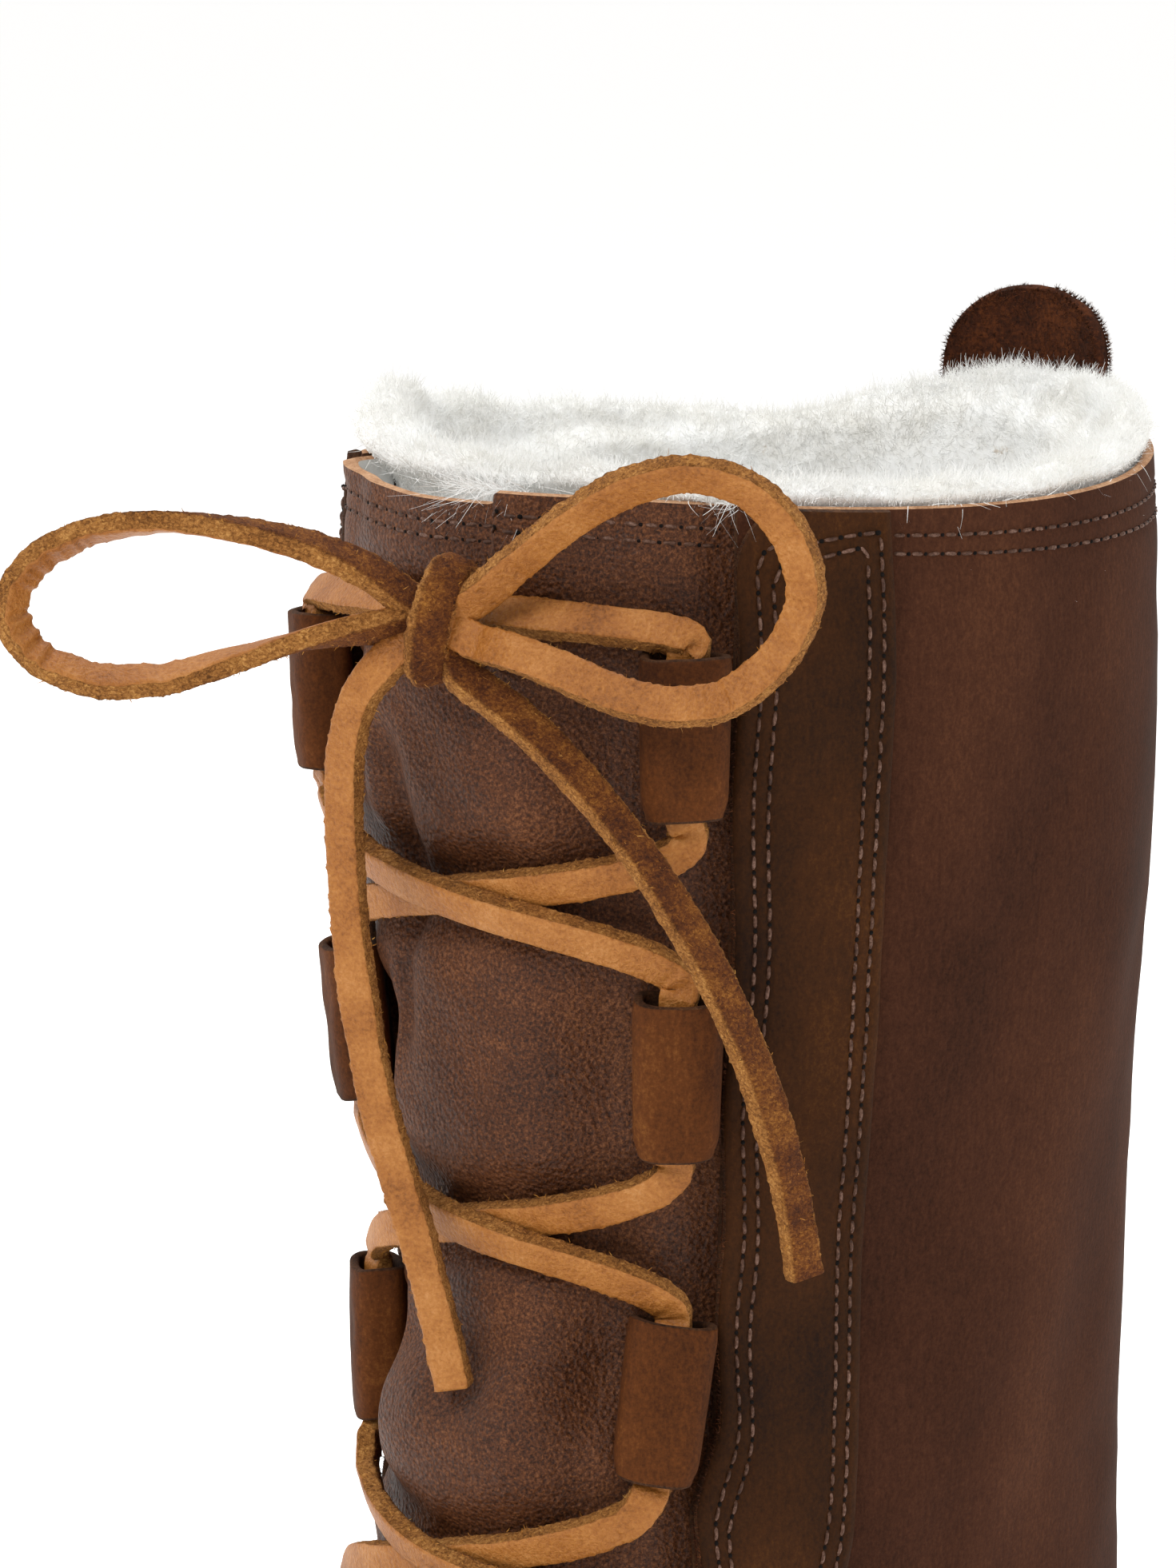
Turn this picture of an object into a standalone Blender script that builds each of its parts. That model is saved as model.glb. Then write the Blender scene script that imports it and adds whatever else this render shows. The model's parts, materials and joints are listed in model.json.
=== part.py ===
import math

import bmesh
import bpy
import numpy as np

# Lengths are metres. The toe points along -Y, the wearer's left is +X and the floor is Z = 0.
CLEARANCE = 0.0004
OVERLAY_LIFT = 0.0006         # between the shell and what is sewn over its facets
OUTSOLE_LENGTH = 0.268
BALL_WIDTH = 0.100
HEEL_HEIGHT = 0.022
FOREFOOT_HEIGHT = 0.012
TOE_SPRING = 0.0075
ARCH_RISE = 0.002
SOLE_LEDGE = 0.0035
SOLE_EDGE_ROUND = 0.0025
SIDE_GROOVE = 0.0012
SIDE_GROOVE_DROP = 0.0034
TREAD_DEPTH = 0.0016
TREAD_GROOVE = 0.0032
INSOLE_THICKNESS = 0.005
INSOLE_ROOM = 0.0022          # round the insole, inside the wall

WALL = 0.0016
INSTEP_HEIGHT = 0.100
RIM_HEIGHT = 0.285
RIM_DIP = 0.004
SHAFT_DEPTH = 0.130
SHAFT_WIDTH = 0.111
SHAFT_SETBACK = 0.0035

APRON_THICKNESS = 0.0018
EYESTAY_THICKNESS = 0.0014
EYESTAY_WIDTH = math.radians(20.5)
THROAT_OUTER = math.radians(36.5)
THROAT_INNER = math.radians(42.5)
TONGUE_THICKNESS = 0.0022
TONGUE_GAP = 0.0008
TONGUE_PUFF = 0.0022
TONGUE_LAP = math.radians(9.0)
TONGUE_TUCK = math.radians(0.8)
TONGUE_TURN = math.radians(13)
TUNNEL_SPAN = math.radians(16.5)  # of the throat's edge, that a tunnel covers
APRON_REACH = math.radians(50)    # half the apron's width, round the section
APRON_ROUND = 2.6                 # rows over which its front end rounds off
WOOL_PILE = 0.010
WOOL_ABOVE_RIM = 0.008
WOOL_BELOW_RIM = 0.022
TAB_WIDTH = 0.034
TAB_THICKNESS = 0.0024
TAB_RISE = 0.0165
TAB_OVERLAP = 0.024

TUNNEL_COUNT = 4
TUNNEL_HEIGHT = 0.0224
TUNNEL_PITCH = 0.0473
TUNNEL_TOP_DROP = 0.0198
TUNNEL_WIDTH = 0.0126
TUNNEL_DEPTH = 0.0080
TUNNEL_WALL = 0.0017
TUNNEL_SEAT = 0.0014
LACE_THICKNESS = 0.0034
LACE_BEND = 0.011             # reach of a stretch's curve out of a tunnel's mouth
BAR_BEND = 0.005
LACE_GAP = 0.0004             # a stretch ends this far outside the mouth
KNOT_SIZE = (0.0085, 0.0080, 0.0178)
KNOT_ANGLE = math.radians(1)      # from the toe, to the outer side
KNOT_RISE = 0.0030                # above the mouths of the top tunnels
BOW_FACING = math.radians(37)

# Shares of the outsole's length from the heel, of the ball width to each side, of the step from
# forefoot to heel height, of the toe spring and of the arch rise.
SOLE_COLUMNS = ("along", "outer", "inner", "wedge", "spring", "arch")
SOLE_ROWS = [
    (0.00, 0.350, 0.350, 1.00, 0.00, 0.0),
    (0.16, 0.365, 0.360, 0.95, 0.00, 0.0),
    (0.30, 0.370, 0.335, 0.70, 0.00, 0.3),
    (0.42, 0.390, 0.320, 0.40, 0.00, 1.0),
    (0.55, 0.450, 0.385, 0.12, 0.00, 0.2),
    (0.68, 0.495, 0.470, 0.00, 0.00, 0.0),
    (0.78, 0.500, 0.500, 0.00, 0.04, 0.0),
    (0.88, 0.460, 0.495, 0.00, 0.30, 0.0),
    (1.00, 0.400, 0.460, 0.00, 1.00, 0.0),
]
HEEL_ROUND = 0.13
TOE_ROUND = 0.20
TOE_SQUARENESS = 2.2
TREAD_PLACES = (0.10, 0.17, 0.24, 0.58, 0.645, 0.71, 0.775, 0.84)

# One row for each fanned section of the foot. Front is its top point: share of the upper's length
# from the heel, and of the instep height above the sole. Back is its lowest point. Belly is the
# share of the ball width by which the section swells past the feather line.
FOOT_COLUMNS = ("front_along", "front_up", "back_along", "belly")
FOOT_ROWS = [
    (1.000, 0.00, 1.000, 0.00),
    (0.999, 0.11, 0.998, 0.05),
    (0.990, 0.22, 0.988, 0.08),
    (0.960, 0.32, 0.962, 0.10),
    (0.912, 0.39, 0.914, 0.11),
    (0.845, 0.45, 0.850, 0.12),
    (0.768, 0.51, 0.775, 0.13),
    (0.690, 0.59, 0.691, 0.14),
    (0.622, 0.69, 0.604, 0.16),
    (0.571, 0.81, 0.508, 0.19),
    (0.540, 0.92, 0.396, 0.23),
    (0.524, 1.01, 0.277, 0.27),
    (0.517, 1.09, 0.157, 0.31),
    (0.514, 1.18, 0.069, 0.355),
    (0.513, 1.27, 0.022, 0.415),
    (0.513, 1.35, 0.000, 0.445),
]
# One row for each ring of the shaft: share of the rim height in front and behind, of half the
# shaft's depth in front of and behind its axis, and of the shaft's width.
SHAFT_COLUMNS = ("front_up", "back_up", "front_reach", "back_reach", "width")
SHAFT_ROWS = [
    (0.582, 0.150, 0.930, 1.060, 0.805),
    (0.618, 0.232, 0.925, 1.065, 0.812),
    (0.660, 0.325, 0.925, 1.050, 0.830),
    (0.709, 0.430, 0.930, 0.985, 0.860),
    (0.765, 0.550, 0.945, 0.960, 0.900),
    (0.828, 0.683, 0.965, 0.975, 0.950),
    (0.895, 0.805, 0.995, 0.995, 0.985),
    (0.951, 0.920, 0.990, 0.995, 0.990),
    (1.000, 1.010, 0.970, 0.975, 0.965),
]
HEEL_ROW = len(FOOT_ROWS) - 1
LAST_ROW = len(FOOT_ROWS) + len(SHAFT_ROWS) - 1
THROAT_ROW = 9.0
EYESTAY_ROWS = (9.3, 23.55)
APRON_ROWS = (2.6, 8.7)
SHAFT_GRID_ROWS = np.linspace(THROAT_ROW, LAST_ROW, 20)

# Free lace ends and bow loops, millimetres across, up and out from the knot's centre, facing
# BOW_FACING round from the toe.
BOW_LOOP_INNER = [
    (-4.8, 3.4, 0.5), (-9, 6.4, 1), (-16, 9.7, 2), (-27, 12.6, 3), (-38, 13.6, 4), (-48, 11.6, 4),
    (-54.5, 7.2, 4), (-56.8, 2.2, 4), (-54.5, -3.0, 4), (-47, -7.2, 4), (-38, -7.6, 3), (-27, -5.0, 2),
    (-16, -2.0, 1.5), (-9, -0.9, 1), (-5.0, -0.4, 0.5),
]
BOW_LOOP_OUTER = [
    (4.4, 2.9, 2), (10.8, 8.6, 5), (18.5, 15.3, 10), (26, 19.8, 14), (33.5, 21.5, 16.5), (41.5, 19.1, 17.5),
    (46.8, 12.8, 17.5), (48.4, 5.8, 17.5), (46.2, -0.6, 17.5), (42.0, -5.4, 17.5), (37.4, -8.3, 17),
    (31.5, -9.2, 16.5), (24.5, -8.2, 14.5), (16.1, -5.2, 10.5), (9.7, -3.3, 6.5), (4.7, -2.4, 2.5),
]
LACE_END_INNER = [
    (-5.8, -4.4, 1), (-8.0, -6.6, 1), (-10.4, -10.0, 0), (-12.4, -16.5, -1.5), (-13.0, -25, -3),
    (-12.8, -35, -4), (-12.0, -46, -4.5), (-10.6, -57, -5), (-8.6, -68, -5), (-5.6, -79, -5.5),
    (-2.6, -90, -6), (0.0, -101, -6.5), (1.5, -108, -6.5),
]
LACE_END_OUTER = [
    (3.3, -7.4, 1.2), (7.2, -10.1, 3), (13.0, -14.6, 5.5), (19.0, -20.6, 8), (25.4, -28.2, 10),
    (31.2, -36.6, 11.5), (36.6, -46, 12), (41.2, -56, 12), (44.6, -66, 11.5), (47.2, -76, 10.5),
    (48.6, -84, 9.5), (49.2, -88, 9),
]


def columns(names, rows):
    return {name: np.array(column) for name, column in zip(names, zip(*rows))}


def smooth_value(places, values, at):
    # cubic between neighbouring rows, with each row's slope taken from the rows beside it
    at = np.clip(at, places[0], places[-1])
    slopes = np.gradient(values, places)
    k = np.clip(np.searchsorted(places, at, side="right") - 1, 0, len(places) - 2)
    width = places[k + 1] - places[k]
    t = (at - places[k]) / width
    return ((2 * t**3 - 3 * t**2 + 1) * values[k] + (t**3 - 2 * t**2 + t) * width * slopes[k]
            + (3 * t**2 - 2 * t**3) * values[k + 1] + (t**3 - t**2) * width * slopes[k + 1])


def ease(value):
    value = np.clip(value, 0, 1)
    return value * value * (3 - 2 * value)


def end_round(share, power):
    return (1 - (1 - np.clip(share, 0, 1)) ** power) ** (1 / power)


SOLE = columns(SOLE_COLUMNS, SOLE_ROWS)


def outline_half(along, side, inset):
    # half width of the outsole at a share of its length, or of the same outline drawn smaller
    share = smooth_value(SOLE["along"], SOLE[side], along)
    ends = end_round(along / HEEL_ROUND, 2) * end_round((1 - along) / TOE_ROUND, TOE_SQUARENESS)
    return share * (BALL_WIDTH - 2 * inset) * ends


def outline_y(along, inset):
    return (0.5 - along) * (OUTSOLE_LENGTH - 2 * inset)


def sole_top(y):
    along = 0.5 - y / OUTSOLE_LENGTH
    wedge = smooth_value(SOLE["along"], SOLE["wedge"], along)
    spring = np.maximum(smooth_value(SOLE["along"], SOLE["spring"], along), 0)
    return FOREFOOT_HEIGHT + (HEEL_HEIGHT - FOREFOOT_HEIGHT) * wedge + TOE_SPRING * spring


def sole_bottom(y):
    along = 0.5 - y / OUTSOLE_LENGTH
    arch = np.maximum(smooth_value(SOLE["along"], SOLE["arch"], along), 0)
    spring = np.maximum(smooth_value(SOLE["along"], SOLE["spring"], along), 0)
    return ARCH_RISE * arch + TOE_SPRING * spring


def upper_rows():
    # the fan of sections from the toe to the rim, in metres
    foot = columns(FOOT_COLUMNS, FOOT_ROWS)
    shaft = columns(SHAFT_COLUMNS, SHAFT_ROWS)
    length = OUTSOLE_LENGTH - 2 * SOLE_LEDGE
    axis = length / 2 - SHAFT_SETBACK - SHAFT_DEPTH / 2
    back_y = (0.5 - foot["back_along"]) * length
    return {
        "front_y": np.append((0.5 - foot["front_along"]) * length,
                             axis - shaft["front_reach"] * SHAFT_DEPTH / 2),
        "front_z": np.append(sole_top(back_y) + CLEARANCE + foot["front_up"] * INSTEP_HEIGHT,
                             shaft["front_up"] * RIM_HEIGHT),
        "back_y": np.append(back_y, axis + shaft["back_reach"] * SHAFT_DEPTH / 2),
        "back_z": np.append(sole_top(back_y) + CLEARANCE, shaft["back_up"] * RIM_HEIGHT),
        "belly": np.append(foot["belly"] * BALL_WIDTH, shaft["width"] * SHAFT_WIDTH / 2),
    }


UPPER = upper_rows()


def upper_point(angle, row):
    # A section is an ellipse in its own plane, cut off at the feather line: across goes with the
    # sine of the angle from the front, and the way from back to front with its cosine.
    angle, row = np.broadcast_arrays(np.asarray(angle, float), np.asarray(row, float))
    places = np.arange(LAST_ROW + 1.0)
    here = {name: smooth_value(places, values, row) for name, values in UPPER.items()}
    along = np.clip(0.5 - here["back_y"] / (OUTSOLE_LENGTH - 2 * SOLE_LEDGE), 0, 1)
    feather = np.where(angle >= 0, outline_half(along, "outer", SOLE_LEDGE),
                       outline_half(along, "inner", SOLE_LEDGE))
    feather = np.where(row < HEEL_ROW, feather, 0)
    wide = np.maximum(np.hypot(feather, here["belly"]), 1e-9)
    closing = np.sqrt(np.maximum(1 - (feather / wide) ** 2, 0))
    turn = np.clip(np.abs(angle), 0, math.pi - np.arccos(np.clip(closing, -1, 1)))
    back_z = np.where(row < HEEL_ROW, sole_top(here["back_y"]) + CLEARANCE, here["back_z"])
    way = (np.cos(turn) + closing) / (1 + closing)
    dip = RIM_DIP * np.sin(turn) ** 2 * ease((row - LAST_ROW + 3) / 3)
    return np.stack([np.sign(angle) * wide * np.sin(turn),
                     here["back_y"] + way * (here["front_y"] - here["back_y"]),
                     back_z + way * (here["front_z"] - back_z) - dip], -1)


def upper_limit(row):
    # the angle at which an open section meets the feather line, on the outer and the inner side
    row = np.asarray(row, float)
    limits = []
    for side in ("outer", "inner"):
        here = {name: smooth_value(np.arange(LAST_ROW + 1.0), values, row) for name, values in UPPER.items()}
        along = np.clip(0.5 - here["back_y"] / (OUTSOLE_LENGTH - 2 * SOLE_LEDGE), 0, 1)
        feather = np.where(row < HEEL_ROW, outline_half(along, side, SOLE_LEDGE), 0)
        limits.append(math.pi - np.arctan2(feather, np.maximum(here["belly"], 1e-9)))
    return limits


def upper_normal(angle, row):
    step = 0.02
    angle, row = np.broadcast_arrays(np.asarray(angle, float), np.asarray(row, float))
    row = np.clip(row, 0.05, LAST_ROW - step)
    outer, inner = upper_limit(row)
    turned = np.clip(angle, -inner + step, outer - step)
    across = upper_point(turned + step, row) - upper_point(turned - step, row)
    up = upper_point(turned, np.minimum(row + step, LAST_ROW)) - upper_point(turned, row - step)
    normal = np.cross(across, up)
    return normal / np.linalg.norm(normal, axis=-1, keepdims=True)


def upper_offset(angle, row, lift):
    lift = np.broadcast_to(np.asarray(lift, float), np.broadcast(angle, row).shape)
    return upper_point(angle, row) + upper_normal(angle, row) * lift[..., None]


def row_at_height(angle, height):
    # halve the span of rows until the shell is at this height
    low = np.full(np.broadcast(angle, height).shape, THROAT_ROW - 3)
    high = np.full(low.shape, float(LAST_ROW))
    for _ in range(30):
        middle = (low + high) / 2
        below = upper_point(angle, middle)[..., 2] < height
        low = np.where(below, middle, low)
        high = np.where(below, high, middle)
    return (low + high) / 2


def shaft_point(angle, height, lift):
    # a point of the shaft's face at a height, or straight above the rim, lifted along its normal
    row = row_at_height(angle, height)
    point = upper_offset(angle, row, lift)
    point[..., 2] += np.maximum(height - upper_point(angle, LAST_ROW)[..., 2], 0)
    return point


def make_material(name, colour, roughness, metallic=0.0):
    material = bpy.data.materials.new(name)
    material.use_nodes = True
    shader = material.node_tree.nodes["Principled BSDF"]
    shader.inputs["Base Color"].default_value = (*colour, 1)
    shader.inputs["Roughness"].default_value = roughness
    shader.inputs["Metallic"].default_value = metallic
    return material


def make_object(name, points, faces, material):
    mesh = bpy.data.meshes.new(name)
    mesh.from_pydata([tuple(p) for p in points], [], faces)
    mesh.update()
    mesh.materials.append(material)
    mesh.shade_smooth()
    mesh.set_sharp_from_angle(angle=math.radians(40))
    piece = bpy.data.objects.new(name, mesh)
    bpy.context.scene.collection.objects.link(piece)
    return piece


def sheet_solid(name, outside, inside, material, keep=None):
    # two grids of the same layout, welded where the outer one meets itself and walled at its edges
    height, width = outside.shape[:2]
    flat = outside.reshape(-1, 3)
    _, first, place = np.unique(np.round(flat, 7), axis=0, return_index=True, return_inverse=True)
    place = place.reshape(-1)
    count = len(first)
    total = np.zeros((count, 3))
    np.add.at(total, place, inside.reshape(-1, 3))
    inner_points = total / np.bincount(place)[:, None]
    outer_faces = []
    for r in range(height - 1):
        for c in range(width - 1):
            if keep is not None and not keep[r, c]:
                continue
            corners = [r * width + c, r * width + c + 1, (r + 1) * width + c + 1, (r + 1) * width + c]
            face = [int(place[k]) for k in corners]
            face = [v for k, v in enumerate(face) if v != face[k - 1]]
            if len(set(face)) > 2:
                outer_faces.append(face)
    edges = {(face[k - 1], face[k]) for face in outer_faces for k in range(len(face))}
    rims = [(a, b) for a, b in sorted(edges) if (b, a) not in edges]
    faces = outer_faces + [[v + count for v in reversed(face)] for face in outer_faces]
    faces += [[b, a, a + count, b + count] for a, b in rims]
    used = sorted({v for face in faces for v in face})
    renumber = {v: k for k, v in enumerate(used)}
    points = np.concatenate([flat[first], inner_points])[used]
    return make_object(name, points, [[renumber[v] for v in face] for face in faces], material)


def tube_points(route, radius, sides):
    # a ring round each point of the route, turned as little as it can be from ring to ring
    route = np.asarray(route)
    along = np.gradient(route, axis=0)
    along /= np.linalg.norm(along, axis=1)[:, None]
    across = np.cross(along[0], (0.3, 0.2, 1.0))
    rings = []
    for point, direction in zip(route, along):
        across = across - direction * across.dot(direction)
        across /= np.linalg.norm(across)
        other = np.cross(direction, across)
        turns = np.arange(sides) * 2 * math.pi / sides
        rings.append(point + radius * (np.cos(turns)[:, None] * across + np.sin(turns)[:, None] * other))
    return np.array(rings)


def stack_faces(count, sides):
    faces = [[k * sides + s, k * sides + (s + 1) % sides, (k + 1) * sides + (s + 1) % sides, (k + 1) * sides + s]
             for k in range(count - 1) for s in range(sides)]
    faces.append(list(range(sides))[::-1])
    faces.append([(count - 1) * sides + s for s in range(sides)])
    return faces


def smooth_route(points, count):
    points = np.asarray(points, float)
    steps = np.concatenate([[0], np.cumsum(np.linalg.norm(np.diff(points, axis=0), axis=1))])
    at = np.linspace(0, steps[-1], count)
    return np.stack([smooth_value(steps, points[:, axis], at) for axis in range(3)], 1)


def build_outsole(material):
    inset_ends = [end for place in TREAD_PLACES for end in
                  (place - 0.62 * TREAD_GROOVE / OUTSOLE_LENGTH, place - 0.38 * TREAD_GROOVE / OUTSOLE_LENGTH,
                   place + 0.38 * TREAD_GROOVE / OUTSOLE_LENGTH, place + 0.62 * TREAD_GROOVE / OUTSOLE_LENGTH)]
    base = 0.5 - 0.4995 * np.cos(np.linspace(0, math.pi, 25))
    near = np.abs(base[:, None] - np.array(TREAD_PLACES)).min(axis=1) > TREAD_GROOVE / OUTSOLE_LENGTH
    along = np.sort(np.append(base[near], inset_ends))
    cut = np.abs(along[:, None] - np.array(TREAD_PLACES)).min(axis=1) < TREAD_GROOVE / OUTSOLE_LENGTH / 2
    ring_along = np.concatenate([along, along[::-1]])
    ring_cut = np.concatenate([cut, cut[::-1]])
    half = np.concatenate([outline_half(along, "outer", 0), -outline_half(along[::-1], "inner", 0)])
    plan = np.stack([half, outline_y(ring_along, 0)], 1)
    tangent = np.roll(plan, -1, axis=0) - np.roll(plan, 1, axis=0)
    tangent /= np.linalg.norm(tangent, axis=1)[:, None]
    outward = np.stack([-tangent[:, 1], tangent[:, 0]], 1)
    top = sole_top(plan[:, 1])
    bottom = sole_bottom(plan[:, 1])
    layers = [
        (SOLE_EDGE_ROUND, bottom + TREAD_DEPTH * ring_cut),
        (0, bottom + SOLE_EDGE_ROUND),
        (0, top - SIDE_GROOVE_DROP - SIDE_GROOVE),
        (SIDE_GROOVE, top - SIDE_GROOVE_DROP),
        (0, top - SIDE_GROOVE_DROP + SIDE_GROOVE),
        (SIDE_GROOVE / 2, top),
    ]
    points = [np.column_stack([plan - outward * inset, level]) for inset, level in layers]
    count = len(plan)
    faces = stack_faces(len(layers), count)[:-2]
    last = (len(layers) - 1) * count
    for k in range(len(along) - 1):
        faces.append([k, count - 1 - k, count - 2 - k, k + 1][::-1])
        faces.append([last + k, last + count - 1 - k, last + count - 2 - k, last + k + 1])
    piece = make_object("outsole", np.concatenate(points), faces, material)
    tidy = bmesh.new()
    tidy.from_mesh(piece.data)
    bmesh.ops.recalc_face_normals(tidy, faces=tidy.faces)
    tidy.to_mesh(piece.data)
    tidy.free()


def build_insole(material):
    inset = SOLE_LEDGE + WALL + INSOLE_ROOM
    along = 0.5 - 0.4995 * np.cos(np.linspace(0, math.pi, 22))
    ring_along = np.concatenate([along, along[::-1]])
    half = np.concatenate([outline_half(along, "outer", inset), -outline_half(along[::-1], "inner", inset)])
    plan = np.stack([half, outline_y(ring_along, inset)], 1)
    level = sole_top(plan[:, 1]) + CLEARANCE
    count = len(plan)
    points = [np.column_stack([plan, level]), np.column_stack([plan, level + INSOLE_THICKNESS])]
    faces = stack_faces(2, count)[:-2]
    for k in range(len(along) - 1):
        faces.append([k, count - 1 - k, count - 2 - k, k + 1][::-1])
        faces.append([count + k, 2 * count - 1 - k, 2 * count - 2 - k, count + k + 1])
    piece = make_object("insole", np.concatenate(points), faces, material)
    tidy = bmesh.new()
    tidy.from_mesh(piece.data)
    bmesh.ops.recalc_face_normals(tidy, faces=tidy.faces)
    tidy.to_mesh(piece.data)
    tidy.free()


def shell_grid(rows, front_columns, side_columns):
    # angles of a grid that keeps a column on each throat edge and runs to the feather line or back
    front = np.linspace(0, 1, front_columns + 1)[1:]
    side = np.linspace(0, 1, side_columns + 1)[1:]
    halves = []
    for limit, edge in zip(upper_limit(rows), (THROAT_OUTER, THROAT_INNER)):
        rear = edge + (limit[:, None] - edge) * side
        halves.append(np.hstack([np.repeat(edge * front[None, :], len(rows), axis=0), rear]))
    return np.hstack([-halves[1][:, ::-1], np.zeros((len(rows), 1)), halves[0]])


def build_upper(material):
    front_columns, side_columns = 4, 13
    rows = np.unique(np.concatenate([np.linspace(0, 4, 8), np.linspace(4, THROAT_ROW, 9),
                                     SHAFT_GRID_ROWS]))
    angles = shell_grid(rows, front_columns, side_columns)
    grid_rows = np.repeat(rows[:, None], angles.shape[1], axis=1)
    outside = upper_point(angles, grid_rows)
    closed = rows >= HEEL_ROW
    outside[closed, 0, 0] = 0
    outside[closed, -1] = outside[closed, 0]
    inside = outside - upper_normal(angles, grid_rows) * WALL
    keep = np.ones((len(rows) - 1, angles.shape[1] - 1), bool)
    keep[rows[:-1] >= THROAT_ROW, side_columns:side_columns + 2 * front_columns] = False
    sheet_solid("upper", outside, inside, material, keep)


def panel(name, angles, rows, low, high, material):
    # a closed slab between two faces of the shell's own function
    angles, rows = np.broadcast_arrays(angles, rows)
    sheet_solid(name, upper_offset(angles, rows, high), upper_offset(angles, rows, low), material)


def build_apron(material):
    rows = np.linspace(*APRON_ROWS, 13)
    start, end = APRON_ROWS
    reach = APRON_REACH * end_round((rows - start + 0.02) / APRON_ROUND, 2)
    shares = np.linspace(-1, 1, 13)
    panel("apron", reach[:, None] * shares, rows[:, None], OVERLAY_LIFT, OVERLAY_LIFT + APRON_THICKNESS,
          material)


def build_eyestays(material):
    inner_rows = SHAFT_GRID_ROWS[(SHAFT_GRID_ROWS > EYESTAY_ROWS[0]) & (SHAFT_GRID_ROWS < EYESTAY_ROWS[1])]
    rows = np.concatenate([EYESTAY_ROWS[:1], inner_rows, EYESTAY_ROWS[1:]])
    for name, edge, side in (("eyestay_outer", THROAT_OUTER, 1), ("eyestay_inner", -THROAT_INNER, -1)):
        angles = np.linspace(edge, edge + side * EYESTAY_WIDTH, 4)[::side]
        panel(name, angles[None, :], rows[:, None], OVERLAY_LIFT, OVERLAY_LIFT + EYESTAY_THICKNESS, material)


def tongue_lift(angle, row):
    # inside the wall under the throat's edges, level with the shell under the tunnels, and swelling
    # out between them
    under = -(WALL + TONGUE_GAP)
    edge = np.where(angle >= 0, THROAT_OUTER, THROAT_INNER)
    side = ease((edge - TONGUE_TUCK - np.abs(angle)) / TONGUE_TURN)
    swell = ease((edge - TUNNEL_SPAN - np.abs(angle)) / TONGUE_TURN)
    base = ease(row - THROAT_ROW - 0.15)
    return under + (side * (-under - TONGUE_GAP / 2) + swell * TONGUE_PUFF) * base


def build_tongue(material):
    rows = np.append(THROAT_ROW - 0.8, np.linspace(THROAT_ROW, LAST_ROW, 18))
    angles = np.linspace(-THROAT_INNER - TONGUE_LAP, THROAT_OUTER + TONGUE_LAP, 15)
    angles, rows = np.broadcast_arrays(angles[None, :], rows[:, None])
    lift = tongue_lift(angles, rows)
    panel("tongue", angles, rows, lift - TONGUE_THICKNESS, lift, material)


def build_wool(material):
    # a ring of pile inside the rim, with its locks fused on as lumps along the top
    around = np.linspace(-math.pi, math.pi, 55)[:-1]
    turns = np.linspace(0, 2 * math.pi, 11)[:-1]
    edge = np.where(around >= 0, THROAT_OUTER, THROAT_INNER) + TONGUE_LAP
    front = ease((edge + math.radians(20) - np.abs(around)) / math.radians(14))
    face = WALL + 2 * CLEARANCE + (TONGUE_THICKNESS + TONGUE_GAP) * front
    crest = WOOL_ABOVE_RIM + 0.0016 * np.sin(7 * around + 0.6) + 0.0012 * np.sin(17 * around)
    rim = upper_point(around, LAST_ROW)[:, 2]
    rings = []
    for turn in turns:
        lift = -face - WOOL_PILE / 2 + WOOL_PILE / 2 * np.sign(np.cos(turn)) * abs(np.cos(turn)) ** 0.7
        level = rim + (crest - WOOL_BELOW_RIM) / 2
        level = level + (crest + WOOL_BELOW_RIM) / 2 * np.sign(np.sin(turn)) * abs(np.sin(turn)) ** 0.8
        lock = 0.0007 * np.sin(11 * around + 3 * turn) * max(math.sin(turn), 0)
        rings.append(shaft_point(around, level, lift - abs(lock)))
    rings = np.array(rings)
    count, sides = len(around), len(turns)
    points = rings.transpose(1, 0, 2).reshape(-1, 3)
    faces = [[c * sides + s, ((c + 1) % count) * sides + s, ((c + 1) % count) * sides + (s + 1) % sides,
              c * sides + (s + 1) % sides] for c in range(count) for s in range(sides)]
    make_object("wool_collar", points, faces, material)


def build_tab(material):
    # a leather tab on the back's outside, with a half round top
    rim = upper_point(math.pi, LAST_ROW)[2]
    radius = SHAFT_WIDTH / 2
    dome = TAB_RISE * 0.75
    levels = np.append(np.linspace(rim - TAB_OVERLAP, rim + TAB_RISE - dome, 4),
                       rim + TAB_RISE - dome + dome * np.sin(np.linspace(0.2, 1.0, 7) * math.pi / 2))
    over = np.clip((levels - rim - TAB_RISE + dome) / dome, 0, 1)
    half = TAB_WIDTH / 2 / radius * np.maximum(np.sqrt(1 - over**2), 0.12)
    shares = np.linspace(-1, 1, 7)
    angles = math.pi + half[:, None] * shares
    levels = np.repeat(levels[:, None], len(shares), axis=1)
    wrapped = (angles + math.pi) % (2 * math.pi) - math.pi
    outside = shaft_point(wrapped, levels, OVERLAY_LIFT + TAB_THICKNESS)
    inside = shaft_point(wrapped, levels, OVERLAY_LIFT)
    sheet_solid("pull_tab", outside, inside, material)


def frame_at(angle, height):
    row = row_at_height(angle, height)
    normal = upper_normal(angle, row)
    up = upper_point(angle, row + 0.1) - upper_point(angle, row - 0.1)
    up -= normal * up.dot(normal)
    up /= np.linalg.norm(up)
    centre = upper_point(angle, row) + normal * (TUNNEL_SEAT + TUNNEL_DEPTH / 2)
    return centre, np.cross(up, normal), normal, up


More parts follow.
